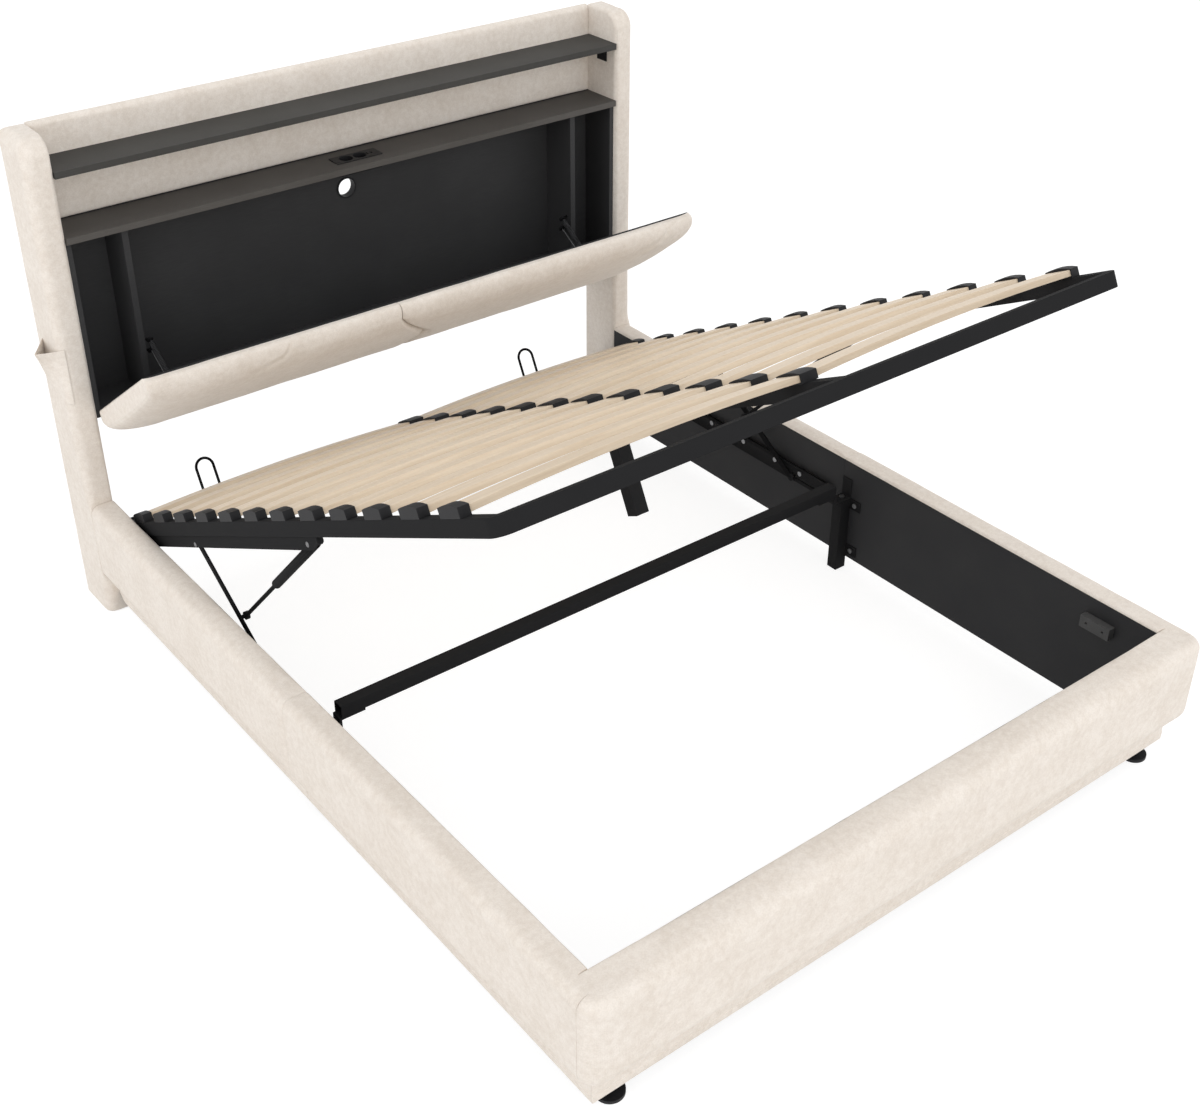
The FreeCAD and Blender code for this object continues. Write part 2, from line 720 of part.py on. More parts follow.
link_top_closed = (PIVOT_Y - LINK_TOP_FROM_PIVOT, PLATFORM_REST - LINK_TOP_DROP)
link_top = raised(link_top_closed)
strut_top_closed = (PIVOT_Y - STRUT_TOP_FROM_PIVOT, PLATFORM_REST - STRUT_TOP_DROP)
strut_top = raised(strut_top_closed)
link_low_closed = slot_pin(link_top_closed)
link_low = slot_pin(link_top)
strut_low_closed = between(link_top_closed, link_low_closed, STRUT_ON_LINK)
strut_low = between(link_top, link_low, STRUT_ON_LINK)
strut_open_length = math.dist(strut_top, strut_low)
strut_closed_length = math.dist(strut_top_closed, strut_low_closed)


def lift_base():
    plate = box(BASE_IN, BASE_OUT, PIVOT_Y - BASE_FRONT, PIVOT_Y + BASE_REAR,
                PIVOT_Z - BASE_HALF_HEIGHT - SLOT_DROP / 2, PIVOT_Z + BASE_HALF_HEIGHT - SLOT_DROP / 2)
    pieces = [plate]
    for offset in BASE_BOLTS:
        pieces.append(pin(BASE_OUT, HALF, PIVOT_Y - offset, PIVOT_Z, BOSS_RADIUS))
    pieces.append(pin(ARM_IN - PIN_FIT, BASE_OUT, PIVOT_Y, PIVOT_Z, PIN_RADIUS))
    pieces.append(pin(ARM_IN - PIN_FIT - PIN_HEAD_THICK, ARM_IN - PIN_FIT, PIVOT_Y, PIVOT_Z, PIN_HEAD))
    base = join(pieces)
    for offset in BASE_BOLTS:
        base = base.cut(pin(BASE_IN - 1, HALF + 1, PIVOT_Y - offset, PIVOT_Z, BOLT_RADIUS + BOLT_FIT))
    slot_half = SLOT_PIN + SLOT_FIT
    front = link_low_closed[0] - slot_half - SLOT_SPARE
    back = link_low[0] + slot_half + SLOT_SPARE
    slot = sheet(rounded_rectangle(front, back, SLOT_Z - slot_half, SLOT_Z + slot_half, slot_half - 0.01),
                 in_yz(BASE_IN - 1), V(BASE_PLATE + 2, 0, 0))
    return base.cut(slot)


save_sides("lift_base", lift_base())


def bolt(x_seat, x_end, y, z):
    shank = pin(x_seat, x_end, y, z, BOLT_RADIUS)
    head = pin(x_seat - BOLT_HEAD_THICK, x_seat, y, z, BOLT_HEAD)
    return join([shank, head])


def frame_bolts():
    bolts = []
    for offset in BASE_BOLTS:
        bolts.append(bolt(BASE_IN, HALF, PIVOT_Y - offset, PIVOT_Z))
    for level in TAB_LEVELS:
        y = CROSSBAR_Y - LEG_TUBE / 2 - TAB_LENGTH / 2
        bolts.append(pin(HALF - TAB_PLATE - BOLT_HEAD_THICK, HALF - TAB_PLATE, y, level, BOLT_HEAD))
    leg_x = HALF - TAB_PLATE - LEG_TUBE / 2
    bolts.append(post(leg_x, CROSSBAR_Y, LEG_TOP + DROP_PLATE, LEG_TOP + DROP_PLATE + BOLT_HEAD_THICK,
                      BOLT_HEAD))
    return group(bolts + [mirrored(one) for one in bolts])


save("frame_bolts", frame_bolts())


# Platform pieces are drawn lying flat, then raised about the rear pivot.
def raise_up(shape):
    moved = shape.copy()
    moved.translate(V(0, FOOT_Y + PLATFORM_FOOT_GAP, PLATFORM_REST))
    moved.rotate(V(0, PIVOT_Y, PIVOT_Z), V(1, 0, 0), -LIFT_ANGLE)
    return moved


def foot_tube():
    def bend(inset):
        edge = PLATFORM_HALF - inset
        inner = TUBE_INNER + inset
        corner = FOOT_TUBE_CORNER - inset
        inner_corner = FOOT_TUBE_CORNER - TUBE_WIDTH + inset
        end = FOOT_TUBE_ARM + (1 if inset else 0)
        return [
            (-edge, inset, corner), (edge, inset, corner), (edge, end, 0), (inner, end, 0),
            (inner, TUBE_WIDTH - inset, inner_corner), (-inner, TUBE_WIDTH - inset, inner_corner),
            (-inner, end, 0), (-edge, end, 0),
        ]
    outside = sheet(bend(0), in_xy(0), V(0, 0, TUBE_HEIGHT))
    hollow = sheet(bend(TUBE_WALL), in_xy(TUBE_WALL), V(0, 0, TUBE_HEIGHT - 2 * TUBE_WALL))
    return outside.cut(hollow)


def straight_tube(x0, x1, s0, s1):
    return box(x0, x1, s0, s1, 0, TUBE_HEIGHT)


def side_tube():
    tube = straight_tube(TUBE_INNER, PLATFORM_HALF, FOOT_TUBE_ARM, PLATFORM_LENGTH)
    hollow = box(TUBE_INNER + TUBE_WALL, PLATFORM_HALF - TUBE_WALL, FOOT_TUBE_ARM - 1,
                 PLATFORM_LENGTH - TUBE_WALL, TUBE_WALL, TUBE_HEIGHT - TUBE_WALL)
    return tube.cut(hollow)


def centre_rail():
    half = CENTRE_RAIL_WIDTH / 2
    rail = straight_tube(-half, half, TUBE_WIDTH, PLATFORM_LENGTH - TUBE_WIDTH)
    hollow = box(-half + TUBE_WALL, half - TUBE_WALL, TUBE_WIDTH - 1, PLATFORM_LENGTH - TUBE_WIDTH + 1,
                 TUBE_WALL, TUBE_HEIGHT - TUBE_WALL)
    return rail.cut(hollow)


def head_tube():
    s0 = PLATFORM_LENGTH - TUBE_WIDTH
    tube = straight_tube(-TUBE_INNER, TUBE_INNER, s0, PLATFORM_LENGTH)
    hollow = box(-TUBE_INNER - 1, TUBE_INNER + 1, s0 + TUBE_WALL, PLATFORM_LENGTH - TUBE_WALL, TUBE_WALL,
                 TUBE_HEIGHT - TUBE_WALL)
    return tube.cut(hollow)


save("foot_tube", raise_up(foot_tube()))
save_sides("side_tube", raise_up(side_tube()))
save("head_tube", raise_up(head_tube()))
save("centre_rail", raise_up(centre_rail()))
save("centre_leg", raise_up(box(-CENTRE_LEG / 2, CENTRE_LEG / 2, CENTRE_LEG_FROM_FOOT - CENTRE_LEG / 2,
                                CENTRE_LEG_FROM_FOOT + CENTRE_LEG / 2, -CENTRE_LEG_DROP, 0)))

# Bowed slats in two rows, each held by an outer and a centre holder
SLAT_OUT = PLATFORM_HALF - HOLDER_BACK
SLAT_IN = CENTRE_HOLDER_WEB / 2
SLAT_LOW = TUBE_HEIGHT + SLAT_SEAT


def slat_band(spare):
    low = SLAT_LOW - spare
    high = SLAT_LOW + SLAT_THICK + spare
    x0 = SLAT_IN - spare
    x1 = SLAT_OUT + spare
    middle = (x0 + x1) / 2
    under = Part.Arc(V(x0, 0, low), V(middle, 0, low + SLAT_BOW), V(x1, 0, low)).toShape()
    above = Part.Arc(V(x1, 0, high), V(middle, 0, high + SLAT_BOW), V(x0, 0, high)).toShape()
    wire = Part.Wire([under, Part.makeLine(V(x1, 0, low), V(x1, 0, high)), above,
                      Part.makeLine(V(x0, 0, high), V(x0, 0, low))])
    width = SLAT_WIDTH + 2 * spare
    band = Part.Face(wire).extrude(V(0, width, 0))
    band.translate(V(0, -width / 2, 0))
    return band


def holder_block(x0, x1):
    half = SLAT_WIDTH / 2 + HOLDER_WALL
    shoulder = TUBE_HEIGHT + HOLDER_HEIGHT
    start = V(x0, -half, TUBE_HEIGHT)
    end = V(x0, half, TUBE_HEIGHT)
    wire = Part.Wire([
        Part.makeLine(start, end),
        Part.makeLine(end, V(x0, half, shoulder)),
        Part.Arc(V(x0, half, shoulder), V(x0, 0, shoulder + HOLDER_CROWN), V(x0, -half, shoulder)).toShape(),
        Part.makeLine(V(x0, -half, shoulder), start),
    ])
    return Part.Face(wire).extrude(V(x1 - x0, 0, 0))


def along_platform(shape):
    copies = []
    for index in range(SLATS):
        one = shape.copy()
        one.translate(V(0, SLAT_FIRST + index * SLAT_PITCH, 0))
        copies.append(raise_up(one))
    return copies


slot_for_slat = slat_band(SLAT_FIT)
outer_holder = holder_block(PLATFORM_HALF - HOLDER_DEEP, PLATFORM_HALF).cut(slot_for_slat)
centre_holder = holder_block(-CENTRE_HOLDER_HALF, CENTRE_HOLDER_HALF)
centre_holder = centre_holder.cut(slot_for_slat).cut(mirrored(slot_for_slat))
slats = group(along_platform(slat_band(0)))
outer_holders = along_platform(outer_holder)
save_sides("slats", slats)
save("slat_holders_outer", group(outer_holders + [mirrored(one) for one in outer_holders]))
save("slat_holders_centre", group(along_platform(centre_holder)))


def mattress_hoop():
    s = PLATFORM_LENGTH - TUBE_WIDTH / 2
    bend = HOOP_SPACING / 2
    x0 = HOOP_X - bend
    x1 = HOOP_X + bend
    top = TUBE_HEIGHT + HOOP_HEIGHT
    shoulder = top - bend
    path = Part.Wire([
        Part.makeLine(V(x0, s, TUBE_HEIGHT), V(x0, s, shoulder)),
        Part.Arc(V(x0, s, shoulder), V(HOOP_X, s, top), V(x1, s, shoulder)).toShape(),
        Part.makeLine(V(x1, s, shoulder), V(x1, s, TUBE_HEIGHT)),
    ])
    ring = Part.Wire([Part.makeCircle(HOOP_WIRE, V(x0, s, TUBE_HEIGHT), V(0, 0, 1))])
    return path.makePipeShell([ring], True, False)


save_sides("mattress_hoop", raise_up(mattress_hoop()))


# Arm plate under each side tube, with the pins of the link and the strut
def lift_arm():
    pivot_h = PIVOT_Z - PLATFORM_REST
    rear = PIVOT_S + ARM_REAR
    front = PIVOT_S - STRUT_TOP_FROM_PIVOT - ARM_NOSE
    corners = [
        (front, 0, 0),
        (front, -ARM_DEPTH / 2, 0),
        (front + ARM_DEPTH, -ARM_DEPTH, 0),
        (PIVOT_S - 2.5 * ARM_LOBE, -ARM_DEPTH, 0),
        (PIVOT_S - ARM_LOBE, pivot_h, 0),
        (PIVOT_S + ARM_LOBE, pivot_h, 0),
        (rear, -ARM_DEPTH, 0),
        (rear, 0, 0),
    ]
    plate = sheet(corners, in_yz(ARM_IN), V(ARM_PLATE, 0, 0))
    lobe = pin(ARM_IN, ARM_OUT, PIVOT_S, pivot_h, ARM_LOBE)
    flange = box(TUBE_INNER, ARM_OUT, front + ARM_DEPTH, rear, -ARM_FLANGE, 0)
    link_s = PIVOT_S - LINK_TOP_FROM_PIVOT
    strut_s = PIVOT_S - STRUT_TOP_FROM_PIVOT
    pieces = [
        plate, lobe, flange,
        pin(LINK_IN - PIN_FIT, ARM_OUT, link_s, -LINK_TOP_DROP, PIN_RADIUS),
        pin(LINK_IN - PIN_FIT - PIN_HEAD_THICK, LINK_IN - PIN_FIT, link_s, -LINK_TOP_DROP, PIN_HEAD),
        pin(STRUT_IN - PIN_FIT, ARM_OUT, strut_s, -STRUT_TOP_DROP, PIN_RADIUS),
        pin(STRUT_IN - PIN_FIT - PIN_HEAD_THICK, STRUT_IN - PIN_FIT, strut_s, -STRUT_TOP_DROP, PIN_HEAD),
    ]
    arm = join(pieces)
    for middle, eye in ((strut_s, STRUT_EYE), (link_s, LINK_EYE)):
        arm = arm.cut(box(TUBE_INNER - 1, ARM_IN, middle - 2 * eye, middle + 2 * eye, -ARM_FLANGE - 1, 1))
    return arm.cut(pin(ARM_IN - 1, ARM_OUT + 1, PIVOT_S, pivot_h, PIN_RADIUS + PIN_FIT))


save_sides("lift_arm", raise_up(lift_arm()))


# Pieces of the linkage that run along a sloped line in the side view
def turned(shape, origin, angle):
    moved = shape.copy()
    moved.translate(V(0, origin[0], origin[1]))
    moved.rotate(V(0, origin[0], origin[1]), V(1, 0, 0), math.degrees(angle))
    return moved


def lift_link():
    bar = box(LINK_IN, LINK_OUT, 0, LINK_LENGTH, -LINK_HALF_WIDTH, LINK_HALF_WIDTH)
    pieces = [
        bar,
        pin(LINK_IN, LINK_OUT, 0, 0, LINK_EYE),
        pin(LINK_IN, LINK_OUT, LINK_LENGTH, 0, LINK_EYE),
        pin(LINK_OUT, BASE_OUT, LINK_LENGTH, 0, SLOT_PIN),
        pin(STRUT_OUT + STUD_CLEARANCE, LINK_IN, STRUT_ON_LINK, 0, STUD_RADIUS),
    ]
    link = join(pieces).cut(pin(LINK_IN - 1, LINK_OUT + 1, 0, 0, PIN_RADIUS + PIN_FIT))
    return turned(link, link_top, slope(link_top, link_low))


save("lift_links", both_sides(lift_link()))
strut_slope = slope(strut_top, strut_low)


def along_strut(s0, s1, radius):
    return Part.makeCylinder(radius, s1 - s0, V(STRUT_X, s0, 0), V(0, 1, 0))


def strut_cylinder():
    pieces = [
        pin(STRUT_IN, STRUT_OUT, 0, 0, STRUT_EYE),
        along_strut(STRUT_EYE / 2, STRUT_START, STRUT_NECK),
        along_strut(STRUT_START, STRUT_START + STRUT_TUBE, STRUT_RADIUS),
    ]
    strut = join(pieces)
    strut = strut.cut(pin(STRUT_IN - 1, STRUT_OUT + 1, 0, 0, PIN_RADIUS + PIN_FIT))
    strut = strut.cut(along_strut(STRUT_START + STRUT_RADIUS, STRUT_START + STRUT_TUBE + 1,
                                  ROD_RADIUS + ROD_FIT))
    return turned(strut, strut_top, strut_slope)


def strut_rod():
    start = STRUT_START + STRUT_TUBE - ROD_HELD
    pieces = [
        along_strut(start, strut_open_length - STRUT_EYE / 2, ROD_RADIUS),
        pin(STRUT_IN, STRUT_OUT, strut_open_length, 0, STRUT_EYE),
    ]
    return turned(join(pieces), strut_top, strut_slope)


save("strut_cylinders", both_sides(strut_cylinder()))
save("strut_rods", both_sides(strut_rod()))


# Flap pieces are drawn closed, then swung open about the hinge axis.
def swing_open(shape):
    moved = shape.copy()
    moved.rotate(V(0, AXIS_Y, AXIS_Z), V(1, 0, 0), FLAP_ANGLE)
    return moved


def opened(point):
    angle = math.radians(FLAP_ANGLE)
    dy = point[0] - AXIS_Y
    dz = point[1] - AXIS_Z
    return (AXIS_Y + dy * math.cos(angle) - dz * math.sin(angle),
            AXIS_Z + dy * math.sin(angle) + dz * math.cos(angle))


save("flap_board", swing_open(box(-FLAP_HALF, FLAP_HALF, AXIS_Y - FLAP_BOARD, AXIS_Y, AXIS_Z + FLAP_START,
                                  AXIS_Z + FLAP_LENGTH)))


# One pad section across the flap: up its length against out of its face
def flap_section(x, fullness):
    def place(up, out, radius):
        height = min(up, FLAP_LENGTH) + max(up - FLAP_LENGTH, 0) * fullness
        depth = min(out, FLAP_BOARD) + max(out - FLAP_BOARD, 0) * fullness
        return (AXIS_Y - depth, AXIS_Z + height, radius * fullness)
    skin = FLAP_BOARD + FLAP_PAD_FIT
    tip = FLAP_LENGTH + FLAP_OVERHANG
    edge = FLAP_LENGTH + FLAP_PAD_FIT
    crown = FLAP_CROWN + FLAP_BOARD
    corners = [
        (AXIS_Y - skin, AXIS_Z + FLAP_START, 0),
        (AXIS_Y - skin, AXIS_Z + edge, 0),
        (AXIS_Y - FLAP_PAD_RETURN, AXIS_Z + edge, 0),
        (AXIS_Y - FLAP_PAD_RETURN, place(tip, 0, 0)[1], FLAP_EDGE_ROUND * fullness),
        place(tip, crown * 0.5, FLAP_NOSE_ROUND),
        place(FLAP_LENGTH * 0.95, crown * 0.73, FLAP_LENGTH * 0.3),
        place(FLAP_LENGTH * 0.275, crown, FLAP_LENGTH * 1.2),
        place(FLAP_LENGTH * 0.03, crown * 0.81, FLAP_HEEL_ROUND),
        place(FLAP_START, crown * 0.45, 0),
    ]
    return outline(corners, in_yz(x))


def flap_pad():
    x0 = FLAP_SEAM
    x1 = FLAP_HALF - FLAP_SEAM
    sections = []
    steps = (0.0, 0.06, 0.2, 0.45, 1.0)
    for step in steps:
        rounding = 1 - math.sqrt(1 - (1 - step) ** 2)
        sections.append(flap_section(x0 + step * FLAP_MIDDLE_RUN, 1 - FLAP_MIDDLE_DRAW * rounding))
    for step in reversed(steps):
        rounding = 1 - math.sqrt(1 - (1 - step) ** 2)
        sections.append(flap_section(x1 - step * FLAP_END_RUN, 1 - FLAP_END_DRAW * rounding))
    return Part.makeLoft(sections, True, True)


save_sides("flap_pad", swing_open(flap_pad()))


# Three butt hinges: two fixed knuckles with the pin, one moving knuckle between them
def knuckle_spans(x):
    first = x - 1.5 * KNUCKLE_LENGTH
    spans = []
    for index in range(3):
        start = first + index * KNUCKLE_LENGTH
        spans.append((start + KNUCKLE_GAP / 2, start + KNUCKLE_LENGTH - KNUCKLE_GAP / 2))
    return spans


def fixed_hinge(x):
    low, middle, high = knuckle_spans(x)
    pieces = [pin(low[0], high[1], AXIS_Y, AXIS_Z, HINGE_PIN)]
    floor = AXIS_Z - KNUCKLE_RADIUS
    for span in (low, high):
        pieces.append(pin(span[0], span[1], AXIS_Y, AXIS_Z, KNUCKLE_RADIUS))
        pieces.append(box(span[0], span[1], AXIS_Y, AXIS_Y + KNUCKLE_RADIUS + 2, floor, floor + LEAF))
    pieces.append(box(low[0], high[1], AXIS_Y + KNUCKLE_RADIUS + 1.5, AXIS_Y + LEAF_REACH, floor,
                      floor + LEAF))
    return join(pieces)


def moving_hinge(x):
    low, middle, high = knuckle_spans(x)
    knuckle = pin(middle[0], middle[1], AXIS_Y, AXIS_Z, KNUCKLE_RADIUS)
    neck = box(middle[0], middle[1], AXIS_Y, AXIS_Y + LEAF, AXIS_Z, AXIS_Z + FLAP_START)
    leaf = box(low[0], high[1], AXIS_Y, AXIS_Y + LEAF, AXIS_Z + KNUCKLE_RADIUS + 1, AXIS_Z + LEAF_REACH)
    hinge = join([knuckle, neck, leaf])
    return hinge.cut(pin(middle[0] - 1, middle[1] + 1, AXIS_Y, AXIS_Z, HINGE_PIN + PIN_FIT))


hinge_places = (-HINGE_X, 0.0, HINGE_X)
save("flap_hinge_fixed", group([fixed_hinge(x) for x in hinge_places]))
save("flap_hinge_moving", group([swing_open(moving_hinge(x)) for x in hinge_places]))

# Springs and check wires between studs on the dividers and lugs on the flap
spring_fixed = (AXIS_Y + SPRING_FIXED_BACK, AXIS_Z + SPRING_FIXED_UP)
spring_lug_closed = (AXIS_Y + SPRING_OFF_FLAP, AXIS_Z + SPRING_ON_FLAP)
spring_lug = opened(spring_lug_closed)
wire_fixed = (AXIS_Y + WIRE_FIXED_BACK, AXIS_Z + WIRE_FIXED_UP)
wire_lug_closed = (AXIS_Y + SPRING_OFF_FLAP, AXIS_Z + WIRE_ON_FLAP)
wire_lug = opened(wire_lug_closed)


def arc_between(start, apex, end):
    middle = (start + end) * 0.5
    half = (end - start).Length / 2
    arm = (apex - start).Length
    rise = (apex - middle).Length
    if rise < 1e-7:
        return Part.makeLine(start, end)
    turn = math.acos(min(1.0, half / arm))
    sagitta = half / math.sin(turn) * (1 - math.cos(turn))
    return Part.Arc(start, middle + (apex - middle) * (sagitta / rise), end).toShape()


# Two arcs that leave one point and reach the next in the given directions
def two_arcs(start, leave, end, arrive):
    chord = end - start
    both = leave + arrive
    across = chord.dot(both)
    bend = 2 * (1 - leave.dot(arrive))
    reach = (-across + math.sqrt(across ** 2 + bend * chord.dot(chord))) / bend
    first = start + leave * reach
    second = end - arrive * reach
    joint = (first + second) * 0.5
    return [arc_between(start, first, joint), arc_between(joint, second, end)]


def spring_path(base, axis, length):
    side = V(1, 0, 0)
    other = axis.cross(side).normalize()
    run = SPRING_TURNS * SPRING_PITCH
    lead = (length - run) / 2

    def at(turn):
        angle = 2 * math.pi * turn
        radial = side * math.cos(angle) + other * math.sin(angle)
        return base + radial * SPRING_COIL + axis * (lead + turn * SPRING_PITCH)

    def heading(turn):
        angle = 2 * math.pi * turn
        around = other * math.cos(angle) - side * math.sin(angle)
        return (around * (2 * math.pi * SPRING_COIL) + axis * SPRING_PITCH).normalize()

    edges = []
    tail = axis * (lead * SPRING_TAIL_SHARE)
    aside = other * (SPRING_COIL * 0.6)
    low_start = base - aside + side * SPRING_COIL
    low_bend = low_start + tail
    edges.append(Part.makeLine(low_start, low_bend))
    edges.extend(two_arcs(low_bend, axis, at(0), heading(0)))
    for half in range(2 * SPRING_TURNS):
        edges.extend(two_arcs(at(half / 2), heading(half / 2), at((half + 1) / 2), heading((half + 1) / 2)))
    high_end = base + aside + side * SPRING_COIL + axis * length
    high_bend = high_end - tail
    edges.extend(two_arcs(at(SPRING_TURNS), heading(SPRING_TURNS), high_bend, axis))
    edges.append(Part.makeLine(high_bend, high_end))
    return Part.Wire(edges)


def side_point(point):
    return V(SPRING_X, point[0], point[1])


def flap_spring():
    start = side_point(spring_lug)
    end = side_point(spring_fixed)
    axis = (end - start).normalize()
    length = (end - start).Length - SEAT_THICK
    path = spring_path(start + axis * (SEAT_THICK / 2), axis, length)
    first = path.Edges[0].Vertexes[0].Point
    ring = Part.Wire([Part.makeCircle(SPRING_WIRE, first, axis)])
    tube = path.makePipeShell([ring], True, False)
    return tube, path


def least_self_gap(path):
    points = []
    travelled = []
    distance = 0.0
    for edge in path.Edges:
        count = max(2, int(edge.Length / 0.8))
        for point in edge.discretize(count)[:-1]:
            if points:
                distance += (point - points[-1]).Length
            points.append(point)
            travelled.append(distance)
    least = 1e9
    for i in range(len(points)):
        for j in range(i + 1, len(points)):
            if travelled[j] - travelled[i] < 4 * SPRING_COIL:
                continue
            if abs(points[j].y - points[i].y) > 3 * SPRING_COIL:
                continue
            least = min(least, (points[j] - points[i]).Length)
    return least - 2 * SPRING_WIRE


spring, spring_line = flap_spring()
print("least gap between the spring's own coils, mm:", round(least_self_gap(spring_line), 3))
save("flap_springs", both_sides(spring))
wire_axis = (side_point(wire_fixed) - side_point(wire_lug)).normalize()
wire_run = (side_point(wire_fixed) - side_point(wire_lug)).Length - SEAT_THICK
check_wire = Part.makeCylinder(WIRE_RADIUS, wire_run, side_point(wire_lug) + wire_axis * (SEAT_THICK / 2),
                               wire_axis)
save("flap_check_wires", both_sides(check_wire))


# A seat centred on its point, square to the line it holds
def seat(point, toward):
    here = side_point(point)
    axis = (side_point(toward) - here).normalize()
    return Part.makeCylinder(SEAT_RADIUS, SEAT_THICK, here - axis * (SEAT_THICK / 2), axis)


def fixed_stud(point, toward):
    stem = pin(SPRING_X, DIVIDER_IN, point[0], point[1], STUD_PIN)
    line = (side_point(toward) - side_point(point)).normalize()
    back = stem.copy()
    back.translate(line * -(SEAT_THICK / 2 + STUD_PIN - 0.5))
    reach = Part.makeCylinder(STUD_PIN, SEAT_THICK / 2 + STUD_PIN, side_point(point), line * -1)
    return join([seat(point, toward), reach, back])


def flap_lug(closed_point, open_point, toward):
    stem = Part.makeCylinder(STUD_PIN, SPRING_OFF_FLAP, V(SPRING_X, AXIS_Y, closed_point[1]), V(0, 1, 0))
    return join([seat(open_point, toward), swing_open(stem)])


save("flap_studs", both_sides(group([fixed_stud(spring_fixed, spring_lug),
                                     fixed_stud(wire_fixed, wire_lug)])))
save("flap_lugs", both_sides(group([flap_lug(spring_lug_closed, spring_lug, spring_fixed),
                                    flap_lug(wire_lug_closed, wire_lug, wire_fixed)])))


# Where the joints lie and how far they travel
def show(label, value):
    print(label, [round(float(one), 6) for one in value])


show("platform pivot y z", (PIVOT_Y, PIVOT_Z))
show("link top y z", link_top)
show("strut top y z", strut_top)
show("strut low y z", strut_low)
show("strut lengths open closed", (strut_open_length, strut_closed_length))
show("link slopes open closed", (slope(link_top, link_low), slope(link_top_closed, link_low_closed)))
show("strut slopes open closed", (slope(strut_top, strut_low), slope(strut_top_closed, strut_low_closed)))
show("slot pin y open closed", (link_low[0], link_low_closed[0]))
show("flap axis y z", (AXIS_Y, AXIS_Z))
show("spring seats", spring_fixed + spring_lug)
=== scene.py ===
import bmesh
import bpy
import math
from mathutils import Matrix, Vector, noise


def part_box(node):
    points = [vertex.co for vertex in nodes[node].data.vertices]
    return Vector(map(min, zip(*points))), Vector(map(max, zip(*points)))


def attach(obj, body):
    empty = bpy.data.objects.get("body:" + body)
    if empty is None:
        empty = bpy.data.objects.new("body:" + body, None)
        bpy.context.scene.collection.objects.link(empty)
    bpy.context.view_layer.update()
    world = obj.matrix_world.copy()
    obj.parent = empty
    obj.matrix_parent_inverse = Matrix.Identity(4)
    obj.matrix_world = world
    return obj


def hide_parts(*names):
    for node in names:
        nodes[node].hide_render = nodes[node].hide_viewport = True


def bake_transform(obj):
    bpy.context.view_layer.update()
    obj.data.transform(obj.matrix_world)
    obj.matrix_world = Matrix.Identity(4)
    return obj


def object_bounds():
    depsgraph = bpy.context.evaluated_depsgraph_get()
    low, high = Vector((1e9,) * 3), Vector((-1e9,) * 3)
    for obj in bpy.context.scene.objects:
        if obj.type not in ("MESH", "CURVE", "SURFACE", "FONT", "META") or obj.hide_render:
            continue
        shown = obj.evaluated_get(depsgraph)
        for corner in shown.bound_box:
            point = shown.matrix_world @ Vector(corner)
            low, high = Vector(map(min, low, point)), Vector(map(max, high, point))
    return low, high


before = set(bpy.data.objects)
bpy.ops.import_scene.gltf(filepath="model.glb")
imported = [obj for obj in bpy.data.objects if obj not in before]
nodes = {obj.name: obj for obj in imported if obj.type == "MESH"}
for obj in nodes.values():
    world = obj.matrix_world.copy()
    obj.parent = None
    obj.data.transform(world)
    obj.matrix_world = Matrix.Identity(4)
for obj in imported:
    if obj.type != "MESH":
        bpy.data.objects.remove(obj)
cad_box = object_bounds()
scene = bpy.context.scene

# Places read from the frame, in metres
core_low, core_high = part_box("rail_core_foot_right")
HALF = core_low.x
CORE_X = core_high.x
FOOT_Y = core_low.y
CORE_TOP = core_high.z
RAIL_BOTTOM = core_low.z
cover_low, cover_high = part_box("rail_cover_head_right")
OUTER_X = cover_high.x
RAIL_TOP = cover_high.z
SEAM_Y = cover_low.y
FOOT_FRONT_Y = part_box("footboard_cover")[0].y
FOOT_CORE_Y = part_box("footboard_core")[0].y
BACK_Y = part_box("back_board")[1].y
panel_low, panel_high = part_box("box_back")
PANEL_Y = panel_low.y
BOX_TOP = panel_high.z
WING_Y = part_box("box_top")[0].y
HEAD_TOP = cad_box[1].z

# Sizes of the padding
PAD_BOTTOM = 0.112
PAD_TOP_ROUND = 0.024
PAD_LOW_ROUND = 0.031
TOP_SKIN_ROUND = 0.0072
FOOT_CORNER = 0.041
FLUSH_RUN = 0.22
CORNER_LAP = 0.0003
RAIL_HEEL_ROUND = 0.040
SEAM_DRAW = 0.0026
SEAM_RUN = 0.009
END_DRAW = 0.0014
END_RUN = 0.008
SKIRT_THICK = 0.0022
SKIRT_LIFT = 0.002
SKIRT_BEHIND = 0.008
HEM_THICK = 1.5 * SKIRT_THICK
HEM_HEIGHT = 0.016
HEM_STEP = 0.002
WING_FRONT_ROUND = 0.050
WING_BACK_ROUND = 0.024
WING_OUTER_EDGE = 0.026
WING_EDGE_AT_RAIL = 0.003
WING_EDGE_LAP = 0.015
WING_EDGE_ABOVE = 0.045
WING_EDGE_BELOW = 0.030
WING_INNER_EDGE = 0.011
WING_BACK_EDGE = 0.008
WING_LIFT = 0.0006
WING_FOOT_LOOP = 0.0008
WING_FRONT_OFFSETS = (0.0, 0.0008, 0.003, 0.0065, 0.011, 0.016, 0.022, 0.031)
WING_BACK_OFFSETS = (0.008, 0.005, 0.0025, 0.0008, 0.0)
WING_OFFSET_STEP = 0.0095
WING_LEVEL_STEP = 0.013
BACK_SKIN = 0.008
BACK_ROUND = 0.0135
BACK_END = (0.003, 0.010)

# Small gaps where pieces meet, extra loops near the cloth's ends, and the slack in a comparison
SKIN_GAP = 0.0002
SEAM_GAP = 0.0003
JOINT_GAP = 0.0004
END_LOOP = 0.0004
TOUCH = 1e-4

